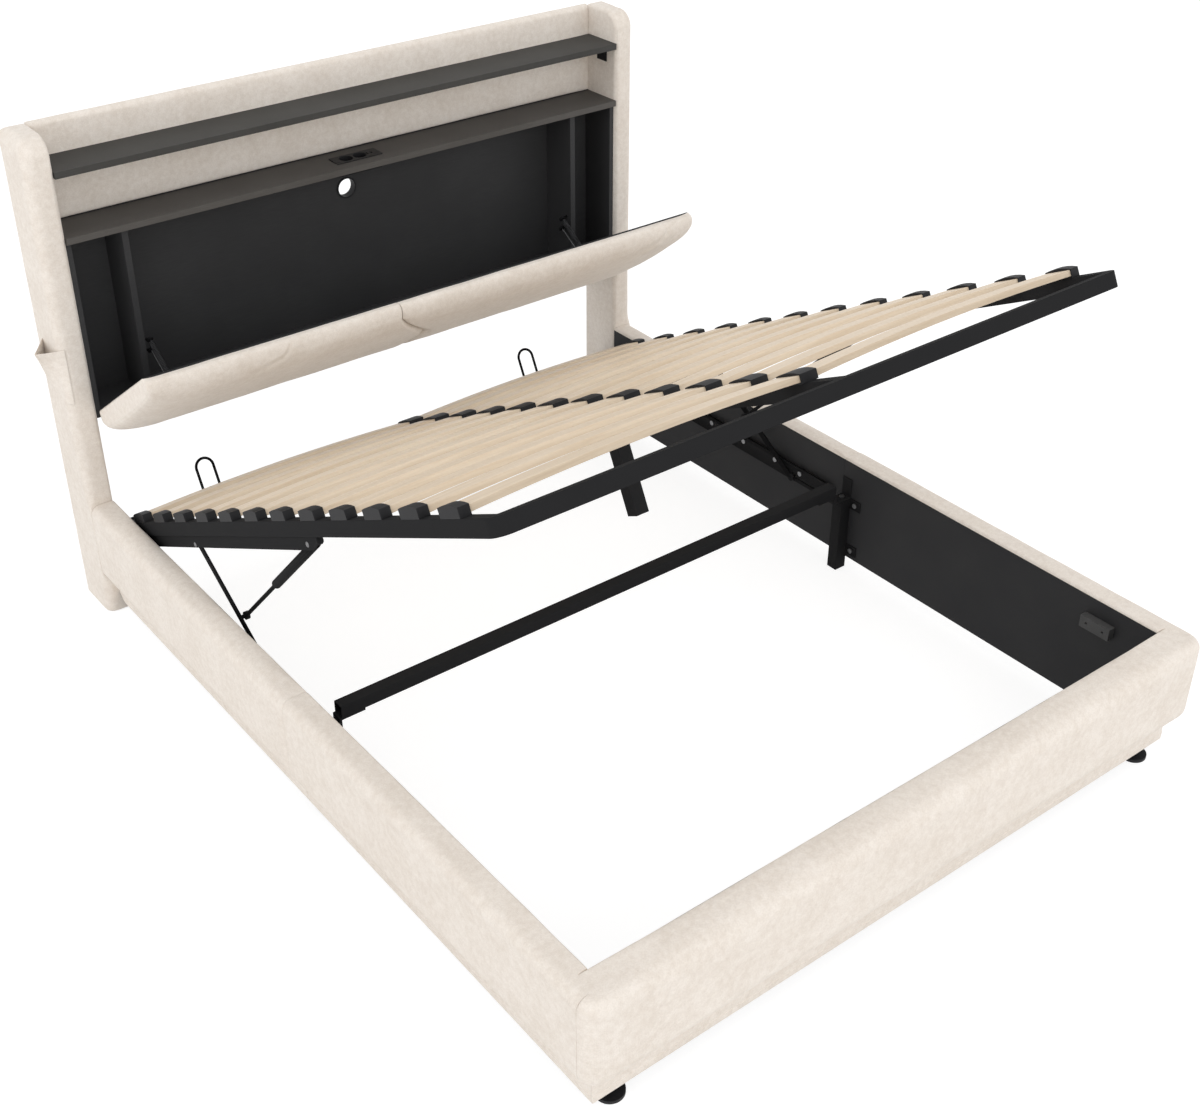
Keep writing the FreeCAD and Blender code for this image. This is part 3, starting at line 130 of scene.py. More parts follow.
# Spacing of the cloth's points, its swelling (pressure and limit) and its unevenness (depth and size)
SECTION_SPACING = 0.011
RING_SPACING = 0.014
BACK_SPACING = 0.016
SKIRT_SPACING = 0.012
FLAP_SPACING = 0.009
END_SHARES = (0.04, 0.14, 0.32, 0.6, 1.0)
RAIL_SWELL = (4.0, 0.0024)
WING_SWELL = (3.0, 0.0022)
BACK_SWELL = (3.0, 0.002)
FLAP_SWELL = (4.0, 0.004)
RAIL_UNEVEN = (0.0007, 0.09)
THIN_UNEVEN = (0.0005, 0.11)
FLAP_UNEVEN = (0.0012, 0.10)

# The flap, measured from its hinge axis with the flap closed
AXIS = Vector((0.0, 0.974, 0.586))
FLAP_ANGLE = math.radians(55.3)
FLAP_LENGTH = 0.400
FLAP_START = 0.007
FLAP_OVERHANG = 0.023
FLAP_BOARD = 0.010
FLAP_CROWN = 0.072
FLAP_HALF = 0.817
FLAP_SEAM = 0.0002
FLAP_WRAP = 0.0016
FLAP_END = (0.44, 0.115)
FLAP_RETURN = 0.0036
FLAP_END_RETURN = 0.0008
FLAP_RETURN_RUN = 0.035
FLAP_MIDDLE = (0.30, 0.026)
FLAP_END_SHARES = (0.01, 0.03, 0.06, 0.10, 0.15, 0.21, 0.28, 0.36, 0.45, 0.55, 0.66, 0.78, 0.90, 1.0)
FLAP_MIDDLE_SHARES = (0.03, 0.08, 0.15, 0.25, 0.38, 0.54, 0.74, 1.0)
FLAP_SEAM_LEAN = -0.141
FLAP_LEAN_FROM = 0.59 * FLAP_LENGTH
FLAP_LEAN_RUN = 0.42 * FLAP_LENGTH
FLAP_SEAM_BLEND = 0.36

# Creases on the flap's rolled edge, as places along the flap and outward from its board
CREASE_RIGHT = ((0.721, 0.015), (0.713, 0.042), (0.694, 0.055),
                (0.658, 0.063), (0.60, 0.069), (0.54, 0.073))
CREASE_LEFT = ((0.450, 0.020), (0.461, 0.042), (0.478, 0.053),
               (0.507, 0.059), (0.555, 0.066), (0.60, 0.071))
CREASE_DEPTH = 0.0030
CREASE_WIDTH = 0.0042
CREASE_REACH = 4 * CREASE_WIDTH
CREASE_FADE = (0.10, 0.55)
CREASE_FINENESS = 0.0032

# The raised platform, measured from its foot end and its tubes' underside
PIVOT = Vector((0.0, 0.830, 0.215))
LIFT = math.radians(26.9)
PLATFORM_REST = 0.281
PLATFORM_FOOT_GAP = 0.020
PLATFORM_LENGTH = 1.998
TUBE_HEIGHT = 0.035
SLATS = 12
SLAT_FIRST = 0.144
SLAT_LAST_GAP = 0.209
SLAT_WIDTH = 0.066
SLAT_THICK = 0.014
SLAT_BOW = 0.011
SLAT_SEAT = 0.003
SLAT_IN = 0.004
SLAT_OUT = 0.806
SLAT_EDGE = 0.0014

# Heads of the lift pins, and the pins' places from the pivot and under the tubes
PIN_HEAD = 0.0068
PIN_HEAD_HIGH = 0.0024
LINK_TOP = (0.383, 0.023)
STRUT_TOP = (1.043, 0.017)

# Springs and check wires of the flap
SPRING_X = 0.646
SPRING_TURNS = 26
SPRING_WIRE = 0.0008
SPRING_COIL = 0.0072
SPRING_PITCH = 0.0041
SEAT_HALF = 0.002
SPRING_FIXED = Vector((0.0, 0.998, 0.724))
SPRING_LUG = Vector((0.0, 0.895012, 0.652857))
WIRE_RADIUS = 0.0014
WIRE_FIXED = Vector((0.0, 1.000, 0.694))
WIRE_LUG_UP = 0.082
WIRE_LUG_BACK = 0.010

# Pocket on the left wing's outer side
POCKET_LOW = 0.624
POCKET_HIGH = 0.773
POCKET_WIDTH = 0.103
POCKET_REACH = 0.049
POCKET_FROM_FRONT = 0.003
POCKET_WALL = 0.0014
POCKET_SKIN = 0.0005
POCKET_PEAK_LOW = 0.96
POCKET_PEAK_HIGH = 0.40
POCKET_SAG = 0.010
POCKET_RISE = 1.6
POCKET_FALL = 0.92
POCKET_SOFT = 0.07
POCKET_HEM_THICK = 0.0008
POCKET_HEM = 0.018


def srgb(red, green, blue):
    def linear(value):
        share = value / 255
        if share <= 0.04045:
            return share / 12.92
        return ((share + 0.055) / 1.055) ** 2.4
    return (linear(red), linear(green), linear(blue), 1.0)


# The node tree of a material or of the world
class NodeTree:
    def __init__(self, owner):
        owner.use_nodes = True
        self.tree = owner.node_tree
        self.tree.nodes.clear()

    def add(self, kind, inputs=None, **settings):
        node = self.tree.nodes.new("ShaderNode" + kind)
        for key, value in settings.items():
            setattr(node, key, value)
        for key, value in (inputs or {}).items():
            self.put(node, key, value)
        return node

    def put(self, node, key, value):
        socket = node.inputs[key]
        if isinstance(value, bpy.types.NodeSocket):
            self.tree.links.new(value, socket)
        else:
            socket.default_value = value


# A material with one main shader, and helpers for its textures
class Finish(NodeTree):
    def __init__(self, name):
        self.material = bpy.data.materials.new(name)
        super().__init__(self.material)
        self.shader = self.add("BsdfPrincipled")
        self.add("OutputMaterial", {0: self.shader.outputs[0]})

    def set(self, **values):
        for key, value in values.items():
            self.put(self.shader, key.replace("_", " ").title().replace("Ior", "IOR"), value)

    def done(self, colour, rough, normal, specular):
        self.set(base_color=colour, roughness=rough, normal=normal, specular_ior_level=specular)
        return self.material

    def place(self, scale=(1, 1, 1), turn=(0, 0, 0)):
        coords = self.add("TexCoord").outputs["Object"]
        return self.add("Mapping", {"Vector": coords, "Scale": scale, "Rotation": turn}).outputs[0]

    def grain(self, where, scale, detail=2.0, roughness=0.5, distortion=0.0):
        return self.add("TexNoise", {"Vector": where, "Scale": scale, "Detail": detail,
                                     "Roughness": roughness, "Distortion": distortion}).outputs["Fac"]

    def bands(self, where, scale, direction, distortion=0.0):
        return self.add("TexWave", {"Vector": where, "Scale": scale, "Distortion": distortion},
                        wave_type="BANDS", bands_direction=direction).outputs["Fac"]

    def sum(self, one, other, operation="ADD"):
        return self.add("Math", {0: one, 1: other}, operation=operation).outputs[0]

    def between(self, value, low, high, from_low=0.0, from_high=1.0):
        return self.add("MapRange", {0: value, 1: from_low, 2: from_high, 3: low, 4: high}).outputs[0]

    def tint(self, share, low, high, from_low=0.0, from_high=1.0):
        ramp = self.add("ValToRGB", {0: share})
        ramp.color_ramp.elements[0].position = from_low
        ramp.color_ramp.elements[0].color = low
        ramp.color_ramp.elements[1].position = from_high
        ramp.color_ramp.elements[1].color = high
        return ramp.outputs[0]

    def mix(self, share, one, other, blend="MIX"):
        colours = {0: share, 6: one, 7: other}
        return self.add("Mix", colours, data_type="RGBA", blend_type=blend).outputs[2]

    def bump(self, height, strength, distance, under=None):
        node = self.add("Bump", {"Height": height, "Strength": strength, "Distance": distance})
        if under is not None:
            self.put(node, "Normal", under)
        return node.outputs[0]

    def soft_edges(self, radius):
        return self.add("Bevel", {"Radius": radius}, samples=6).outputs[0]


def fabric(name, pale, deep):
    finish = Finish(name)
    where = finish.place()
    clouds = finish.grain(where, 11.0, 2.0, 0.5)
    brushed = finish.grain(where, 72.0, 4.0, 0.62)
    nap = finish.grain(where, 330.0, 2.0, 0.6)
    blend = finish.sum(finish.sum(clouds, 0.34, "MULTIPLY"), finish.sum(brushed, 0.66, "MULTIPLY"))
    colour = finish.tint(blend, deep, pale, 0.36, 0.62)
    fibre = finish.tint(nap, (0.91, 0.905, 0.90, 1), (1, 1, 1, 1), 0.3, 0.7)
    colour = finish.mix(1.0, colour, fibre, "MULTIPLY")
    # Lighter cream along rounded edges, where pointiness is high: a painted highlight
    edge = finish.add("NewGeometry").outputs["Pointiness"]
    edge_highlight = finish.between(edge, 0.0, 0.35, 0.51, 0.58)
    colour = finish.mix(edge_highlight, colour, pale)
    weave = finish.sum(finish.bands(where, 95.0, "X", 0.6), finish.bands(where, 95.0, "Y", 0.6))
    weave = finish.sum(weave, finish.bands(where, 95.0, "Z", 0.6))
    normal = finish.bump(weave, 0.10, 0.0006)
    normal = finish.bump(nap, 0.22, 0.0008, normal)
    normal = finish.bump(brushed, 0.05, 0.003, normal)
    finish.set(sheen_weight=0.30, sheen_roughness=0.45, sheen_tint=(1.0, 0.97, 0.93, 1.0))
    return finish.done(colour, finish.between(brushed, 0.78, 0.95), normal, 0.15)


def laminate(name, pale, deep, rough, edge):
    finish = Finish(name)
    where = finish.place((6.0, 90.0, 90.0))
    pores = finish.grain(where, 5.0, 5.0, 0.65, 0.2)
    cloud = finish.grain(finish.place(), 5.0, 2.0)
    fine = finish.grain(finish.place(), 900.0, 1.0)
    colour = finish.tint(finish.sum(pores, cloud, "MULTIPLY"), deep, pale, 0.12, 0.4)
    normal = finish.soft_edges(edge)
    normal = finish.bump(pores, 0.08, 0.0005, normal)
    normal = finish.bump(fine, 0.06, 0.0003, normal)
    return finish.done(colour, finish.between(pores, rough - 0.06, rough + 0.08), normal, 0.18)


def coated_steel(name, pale, deep, rough, edge):
    finish = Finish(name)
    where = finish.place()
    peel = finish.grain(where, 420.0, 2.0)
    cloud = finish.grain(where, 11.0, 3.0)
    # Lighter grey on sharp edges, where pointiness is high: a painted highlight
    edge_highlight = finish.between(finish.add("NewGeometry").outputs["Pointiness"], 0.0, 0.3, 0.52, 0.62)
    colour = finish.mix(edge_highlight, finish.tint(cloud, deep, pale, 0.3, 0.7), (0.05, 0.05, 0.052, 1))
    normal = finish.bump(peel, 0.16, 0.0004, finish.soft_edges(edge))
    return finish.done(colour, finish.between(cloud, rough - 0.06, rough + 0.07), normal, 0.04)


def moulded(name, pale, deep, rough, edge):
    finish = Finish(name)
    where = finish.place()
    pebbles = finish.add("TexVoronoi", {"Vector": where, "Scale": 950.0}).outputs["Distance"]
    cloud = finish.grain(where, 16.0, 2.0)
    colour = finish.tint(cloud, deep, pale, 0.3, 0.7)
    normal = finish.bump(pebbles, 0.18, 0.0003, finish.soft_edges(edge))
    return finish.done(colour, finish.between(cloud, rough - 0.05, rough + 0.08), normal, 0.22)


def plated(name, colour, rough, edge):
    finish = Finish(name)
    lines = finish.grain(finish.place((30.0, 600.0, 600.0)), 2.0, 3.0)
    cloud = finish.grain(finish.place(), 25.0, 3.0)
    dull = tuple(0.72 * part for part in colour[:3]) + (1.0,)
    finish.set(base_color=finish.tint(cloud, dull, colour, 0.3, 0.7), metallic=1.0,
               roughness=finish.between(lines, rough - 0.08, rough + 0.12))
    finish.set(normal=finish.bump(lines, 0.08, 0.0002, finish.soft_edges(edge)))
    return finish.material


# Birch grain runs along the slats, in the platform's own directions
def birch(name, pale, deep, layered):
    finish = Finish(name)
    level = (LIFT, 0, 0)
    along = finish.place((1.6, 46.0, 46.0), level)
    grain = finish.grain(along, 4.0, 6.0, 0.62, 0.6)
    streak = finish.grain(finish.place((0.7, 16.0, 16.0), level), 4.0, 3.0, 0.5, 0.8)
    fleck = finish.grain(finish.place((30.0, 700.0, 700.0), level), 1.0, 2.0)
    island = finish.add("NewGeometry").outputs["Random Per Island"]
    share = finish.sum(finish.sum(grain, 0.5, "MULTIPLY"), finish.sum(streak, 0.5, "MULTIPLY"))
    colour = finish.tint(share, deep, pale, 0.33, 0.62)
    colour = finish.mix(finish.between(island, 0.0, 0.10), colour, deep)
    colour = finish.mix(finish.between(fleck, 0.0, 0.16, 0.5, 0.75), colour, deep)
    knots = finish.add("TexVoronoi", {"Vector": finish.place((4.0, 14.0, 14.0), level), "Scale": 2.0,
                                      "Randomness": 1.0}).outputs["Distance"]
    colour = finish.mix(finish.between(knots, 0.55, 0.0, 0.02, 0.06), colour, srgb(150, 112, 76))
    if layered:
        plies = finish.bands(finish.place((1, 1, 1), level), 195.0, "Z", 0.2)
        colour = finish.mix(finish.between(plies, 0.0, 0.30), colour, deep)
    normal = finish.bump(grain, 0.10, 0.0005)
    return finish.done(colour, finish.between(streak, 0.42, 0.56), normal, 0.35)


CREAM = fabric("cream_fabric", srgb(239, 231, 222), srgb(227, 217, 206))
BLACK_BOARD = laminate("black_laminate", srgb(48, 48, 49), srgb(40, 40, 42), 0.62, 0.0012)
GREY_BLOCK = laminate("grey_block", srgb(80, 80, 80), srgb(70, 70, 70), 0.6, 0.0015)
GREY_SHELF = laminate("grey_laminate", srgb(72, 71, 69), srgb(62, 61, 59), 0.58, 0.0012)
# A lighter copy of the grey laminate for the box's upward face: painted light
GREY_LAMINATE_LIT_TOP = laminate("grey_box_top_painted_light", srgb(91, 88, 85), srgb(80, 77, 74), 0.58, 0.0012)
BOX_BOARD = laminate("black_box_laminate", srgb(62, 62, 63), srgb(55, 55, 56), 0.62, 0.0012)
POST_WOOD = laminate("post_timber", srgb(188, 160, 122), srgb(164, 134, 98), 0.62, 0.002)
BLACK_STEEL = coated_steel("black_powder_coat", srgb(21, 21, 22), srgb(17, 17, 18), 0.74, 0.0022)
BLACK_PLASTIC = moulded("black_moulded_plastic", srgb(36, 36, 38), srgb(28, 28, 30), 0.55, 0.0012)
STEEL = plated("zinc_plated_steel", (0.25, 0.25, 0.255, 1.0), 0.42, 0.0006)
BIRCH = birch("lacquered_birch", srgb(234, 217, 195), srgb(219, 199, 173), False)
BIRCH_EDGE = birch("layered_birch_edge", srgb(233, 216, 193), srgb(212, 190, 162), True)
SPRING_STEEL = plated("dark_spring_steel", (0.11, 0.11, 0.115, 1.0), 0.45, 0.0002)

FINISH_OF_SLOT = {
    "cream_fabric": CREAM,
    "black_board": BLACK_BOARD,
    "post_wood": POST_WOOD,
    "grey_shelf": GREY_SHELF,
    "birch": BIRCH,
    "black_plastic": BLACK_PLASTIC,
    "bare_steel": STEEL,
    "black_steel": BLACK_STEEL,
}
FINISH_OF_NODE = {
    "support_blocks": GREY_BLOCK,
    "flap_studs": BLACK_STEEL,
    "flap_lugs": BLACK_STEEL,
    "strut_rods": BLACK_STEEL,
    # The box's top takes the lighter copy of the grey laminate: painted light
    "box_top": GREY_LAMINATE_LIT_TOP,
    "box_back": BOX_BOARD,
    "box_sides": BOX_BOARD,
    "box_dividers": BOX_BOARD,
    "box_bottom": BOX_BOARD,
}


# Every carried-over solid takes the finish named for it, or that of its slot
def slot_of_node(name):
    for material in nodes[name].data.materials:
        slot = material.name.split(".")[0] if material else None
        if slot in FINISH_OF_SLOT:
            return slot
    return None


for name, node in nodes.items():
    slot = slot_of_node(name)
    if slot is not None:
        for place in node.material_slots:
            place.material = FINISH_OF_NODE.get(name, FINISH_OF_SLOT[slot])


# Even steps from one value to another, with both of them
def spread(start, end, steps):
    return [start + (end - start) * step / steps for step in range(steps + 1)]


# A closed outline with rounded corners, each given as a place and a radius
def rounded(corners, spacing, arc_steps=6):
    points = []
    count = len(corners)
    bends = []
    for index in range(count):
        x, y, radius = corners[index]
        here = Vector((x, y))
        before = (Vector(corners[index - 1][:2]) - here).normalized()
        after = (Vector(corners[(index + 1) % count][:2]) - here).normalized()
        if radius <= 0:
            bends.append([here])
            continue
        half = before.angle(after) / 2
        reach = radius / math.tan(half)
        centre = here + (before + after).normalized() * (radius / math.sin(half))
        start = here + before * reach - centre
        end = here + after * reach - centre
        angles = spread(0.0, -start.angle_signed(end), arc_steps)
        bends.append([centre + Matrix.Rotation(angle, 2) @ start for angle in angles])
    for index in range(count):
        bend = bends[index]
        following = bends[(index + 1) % count][0]
        points.extend(bend)
        gap = (following - bend[-1]).length
        steps = max(1, round(gap / spacing))
        for step in range(1, steps):
            points.append(bend[-1].lerp(following, step / steps))
    return points


def outward(points):
    normals = []
    count = len(points)
    for index in range(count):
        along = points[(index + 1) % count] - points[index - 1]
        normals.append(Vector((along.y, -along.x)).normalized())
    return normals


# An outline with its free points moved along their normals
def shifted(section, free, shift):
    trio = zip(section, outward(section), free)
    return [point + normal * shift if loose else point for point, normal, loose in trio]


# How far a quarter round falls away, at a distance past its start
def arc_drop(past, radius):
    past = min(max(past, 0.0), radius)
    return radius - math.sqrt(radius * radius - past * past)


# How far a padded end draws in, from its very end to where it is full
def end_draw(distance, draw, run):
    return draw * arc_drop(1 - distance / run, 1.0)


# Places along a cover, close together in the run at each end
def stations(start, end, spacing, run):
    places = [start, end]
    for share in END_SHARES:
        places.append(start + run * share)
        places.append(end - run * share)
    steps = max(1, round((end - start - 2 * run) / spacing))
    return sorted(places + spread(start + run, end - run, steps)[1:-1])


def mesh_from(verts, faces):
    mesh = bpy.data.meshes.new("piece")
    mesh.from_pydata(verts, [], faces)
    mesh.validate()
    work = bmesh.new()
    work.from_mesh(mesh)
    bmesh.ops.recalc_face_normals(work, faces=work.faces)
    work.to_mesh(mesh)
    work.free()
    return mesh


def ring_faces(rings, first=0):
    width = len(rings[0])
    faces = []
    for ring in range(len(rings) - 1):
        for index in range(width):
            following = (index + 1) % width
            low = first + ring * width
            high = low + width
            faces.append((low + index, low + following, high + following, high + index))
    last = first + (len(rings) - 1) * width
    faces.append(tuple(first + index for index in reversed(range(width))))
    faces.append(tuple(last + index for index in range(width)))
    return faces


def eased(share):
    share = min(1.0, max(0.0, share))
    return share * share * (3 - 2 * share)


CLOTH = {
    "quality": 5,
    "mass": 0.3,
    "tension_stiffness": 25,
    "compression_stiffness": 25,
    "shear_stiffness": 8,
    "bending_stiffness": 0.6,
    "use_pressure": True,
    "vertex_group_mass": "held",
}


# Cloth under pressure, held where it is pinned, with each point's movement capped
def swell(rings, held, pressure, cap, ease=None, frames=20):
    width = len(rings[0])
    verts = [point for ring in rings for point in ring]
    mesh = mesh_from(verts, ring_faces(rings))
    piece = bpy.data.objects.new("swelling", mesh)
    scene.collection.objects.link(piece)
    group = piece.vertex_groups.new(name="held")
    for ring in range(len(rings)):
        for index in range(width):
            if held(ring, index):
                group.add([ring * width + index], 1.0, "REPLACE")
    cloth = piece.modifiers.new("cloth", "CLOTH")
    for key, value in CLOTH.items():
        setattr(cloth.settings, key, value)
    cloth.settings.uniform_pressure_force = pressure
    cloth.settings.effector_weights.gravity = 0
    cloth.point_cache.frame_start = 1
    cloth.point_cache.frame_end = frames
    for number in range(1, frames + 1):
        scene.frame_set(number)
    graph = bpy.context.evaluated_depsgraph_get()
    settled = piece.evaluated_get(graph).data
    moved = []
    for ring in range(len(rings)):
        row = []
        for index in range(width):
            start = rings[ring][index]
            shift = settled.vertices[ring * width + index].co - start
            limit = cap * ease(ring) if ease else cap
            if shift.length > limit:
                shift = shift.normalized() * limit
            row.append(start + shift)
        moved.append(row)
    scene.frame_set(1)
    bpy.data.objects.remove(piece)
    return moved


# Slight unevenness of stuffing under the cloth, the same in every run
def uneven(point, normal, depth, size):
    broad = noise.noise(point / size)
    finer = noise.noise(point / (size * 0.35) + Vector((7, 3, 5)))
    return point + normal * (depth * (broad + 0.4 * finer))


def mirrored(rings):
    return [[Vector((-point.x, point.y, point.z)) for point in ring] for ring in rings]


def add_piece(name, mesh, material, smooth_levels=1):
    mesh.name = name
    for face in mesh.polygons:
        face.use_smooth = True
    mesh.materials.append(material)
    piece = bpy.data.objects.new(name, mesh)
    scene.collection.objects.link(piece)
    if smooth_levels:
        smooth = piece.modifiers.new("smooth", "SUBSURF")
        smooth.levels = smooth_levels
        smooth.render_levels = smooth_levels
    return piece


# A piece of one or more closed tubes, each a list of rings
def make_piece(name, parts, material, smooth_levels=1):
    verts = []
    faces = []
    for rings in parts:
        faces.extend(ring_faces(rings, len(verts)))
        verts.extend(point for ring in rings for point in ring)
    return add_piece(name, mesh_from(verts, faces), material, smooth_levels)


def dress(piece, body, slot, *stands_for):
    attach(piece, body)
    if stands_for:
        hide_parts(*stands_for)


# A padded cloth cover that stands for one solid
def cover(name, body, fill, *parts):
    piece = make_piece(name + "_cloth", parts, CREAM)
    dress(piece, body, "cream_fabric", name)


# The cloth's points held in place: both ends and what lies on the core
def held_ends(rings, free):
    last = len(rings) - 1

    def held(ring, index):
        return ring in (0, last) or not free[index]

    return held


def ruffle(rings, depth, size, free):
    width = len(rings[0])
    result = []
    for number, ring in enumerate(rings):
        before = rings[max(number - 1, 0)]
        after = rings[min(number + 1, len(rings) - 1)]
        row = []
        for index in range(width):
            along = after[index] - before[index]
            around = ring[(index + 1) % width] - ring[index - 1]
            normal = around.cross(along)
            if normal.length < 1e-12 or not free[index]:
                row.append(ring[index])
                continue
            row.append(uneven(ring[index], normal.normalized(), depth, size))
        result.append(row)
    return result


# Side rail covers: a padded hook over the core board, and a plain skirt below it
def rail_rings(start, end, at_wing):
    section = rounded([
        (CORE_X, PAD_BOTTOM, 0),
        (OUTER_X, PAD_BOTTOM, PAD_LOW_ROUND),
        (OUTER_X, RAIL_TOP, PAD_TOP_ROUND),
        (HALF, RAIL_TOP, TOP_SKIN_ROUND),
        (HALF, CORE_TOP, 0),
        (CORE_X, CORE_TOP, 0),
    ], SECTION_SPACING)
    places = stations(start, end, RING_SPACING, SEAM_RUN)
    if not at_wing:
        places = sorted(places + [FOOT_Y - SKIN_GAP, FOOT_Y + SKIN_GAP])
    free = [x >= CORE_X + TOUCH or z >= CORE_TOP + TOUCH for x, z in section]
    rings = []
    for y in places:
        if at_wing:
            draw = end_draw(y - start, SEAM_DRAW, SEAM_RUN) + end_draw(end - y, END_DRAW, END_RUN)
        else:
            draw = end_draw(end - y, SEAM_DRAW, SEAM_RUN)
        ring = []
        for x, z in shifted(section, free, -draw):
            if x < CORE_X - TOUCH and y < FOOT_Y:
                x = CORE_X + JOINT_GAP
            ring.append(Vector((x, y, z)))
        rings.append(ring)
    return rings, free


# Outline of a skirt with its hem, from the core's face outward
def skirt_corners(face, way):
    low = RAIL_BOTTOM + SKIRT_LIFT
    hem = low + HEM_HEIGHT
    high = PAD_BOTTOM + SKIRT_BEHIND
    plain = face + way * SKIRT_THICK
    thick = face + way * HEM_THICK
    return [
        (face, low, 0.0006),
        (thick, low, 0.0015),
        (thick, hem, 0.001),
        (plain, hem + HEM_STEP, 0.001),
        (plain, high, 0),
        (face, high, 0),
    ]


# A skirt's lower edge is rounded up where it meets the wing
def skirt_rings(start, end, at_wing):
    low = RAIL_BOTTOM + SKIRT_LIFT
    high = PAD_BOTTOM + SKIRT_BEHIND
    section = rounded(skirt_corners(CORE_X, 1), SKIRT_SPACING, 3)
    steps = max(2, round((end - start) / 0.02))
    places = sorted(spread(start, end, steps) + [start + END_LOOP, end - END_LOOP])
    if at_wing:
        places = [y for y in places if y < end - RAIL_HEEL_ROUND]
        places += [end - RAIL_HEEL_ROUND * (1 - math.sin(math.pi / 2 * step / 8)) for step in range(9)]
    rings = []
    for y in places:
        rise = arc_drop(y - (end - RAIL_HEEL_ROUND), RAIL_HEEL_ROUND) if at_wing else 0.0
        shrink = (high - low - rise) / (high - low)
        rings.append([Vector((x, y, high - (high - z) * shrink)) for x, z in section])
    return rings


def rail_cover(half, start, end, at_wing):
    rings, free = rail_rings(start, end, at_wing)

    def ease(ring):
        if at_wing:
            return eased((end - rings[ring][0].y) / FLUSH_RUN)
        return eased((rings[ring][0].y - start) / FLUSH_RUN)

    rings = swell(rings, held_ends(rings, free), *RAIL_SWELL, ease)
    skirt = skirt_rings(max(start, FOOT_CORE_Y + SKIN_GAP), end, at_wing)
    for side in ("right", "left"):
        pad = rings if side == "right" else mirrored(rings)
        strip = skirt if side == "right" else mirrored(skirt)
        pad = ruffle(pad, *RAIL_UNEVEN, free)
        cover("rail_cover_" + half + "_" + side, "frame", 0.85, pad, strip)


rail_cover("foot", FOOT_FRONT_Y + FOOT_CORNER - CORNER_LAP, SEAM_Y - SEAM_GAP, False)
rail_cover("head", SEAM_Y, WING_Y - JOINT_GAP, True)


# Footboard cover: a padded hook, carried round both front corners
def footboard_cover():
    turn_y = FOOT_FRONT_Y + FOOT_CORNER
    turn_x = OUTER_X - FOOT_CORNER
    section = rounded([
        (FOOT_CORE_Y, PAD_BOTTOM, 0),
        (FOOT_CORE_Y, CORE_TOP, 0),
        (FOOT_Y, CORE_TOP, 0),
        (FOOT_Y, RAIL_TOP, TOP_SKIN_ROUND),
        (FOOT_FRONT_Y, RAIL_TOP, PAD_TOP_ROUND),
        (FOOT_FRONT_Y, PAD_BOTTOM, PAD_LOW_ROUND),
    ], SECTION_SPACING)
    free = [y <= FOOT_CORE_Y - TOUCH or z >= CORE_TOP + TOUCH for y, z in section]
    steps = round(2 * turn_x / RING_SPACING)
    rings = [[Vector((x, y, z)) for y, z in section] for x in spread(-turn_x, turn_x, steps)]

    def ease(ring):
        return eased((turn_x - abs(rings[ring][0].x)) / FLUSH_RUN)

    rings = swell(rings, held_ends(rings, free), *RAIL_SWELL, ease)
    bends = 8
    before = []
    after = []
    for step in list(range(1, bends)) + [bends - 0.08, bends]:
        angle = math.pi / 2 * step / bends
        row = []
        for y, z in section:
            depth = max(turn_y - y, 0.0)
            if y > turn_y:
                row.append((turn_x + (CORE_X + SKIN_GAP - turn_x) * step / bends, y, z))
            else:
                row.append((turn_x + depth * math.sin(angle), turn_y - depth * math.cos(angle), z))
        after.append([Vector(point) for point in row])
        before.append([Vector((-x, y, z)) for x, y, z in row])
    corners = skirt_corners(FOOT_CORE_Y, -1)
    face = rounded(corners[:1] + corners[:0:-1], SKIRT_SPACING, 3)
    reach = CORE_X + HEM_THICK
    places = sorted(spread(-reach, reach, 80) + [END_LOOP - reach, reach - END_LOOP])
    strip = [[Vector((x, y, z)) for y, z in face] for x in places]
    rings = ruffle(list(reversed(before)) + rings + after, *RAIL_UNEVEN, free)
    cover("footboard_cover", "frame", 0.85, rings, strip)


footboard_cover()


# Wings: cloth over a thin padding, rounded all round its front and top
def edge_inset(distance, radius):
    return arc_drop(radius - distance, radius)


# The wing's outer front edge is drawn tight where the rail's pad butts against it
def outer_edge(z):
    above = eased((z - RAIL_TOP + WING_EDGE_LAP) / WING_EDGE_ABOVE)
    below = eased((PAD_BOTTOM + WING_EDGE_LAP - z) / WING_EDGE_BELOW)
    return WING_EDGE_AT_RAIL + (WING_OUTER_EDGE - WING_EDGE_AT_RAIL) * max(above, below)


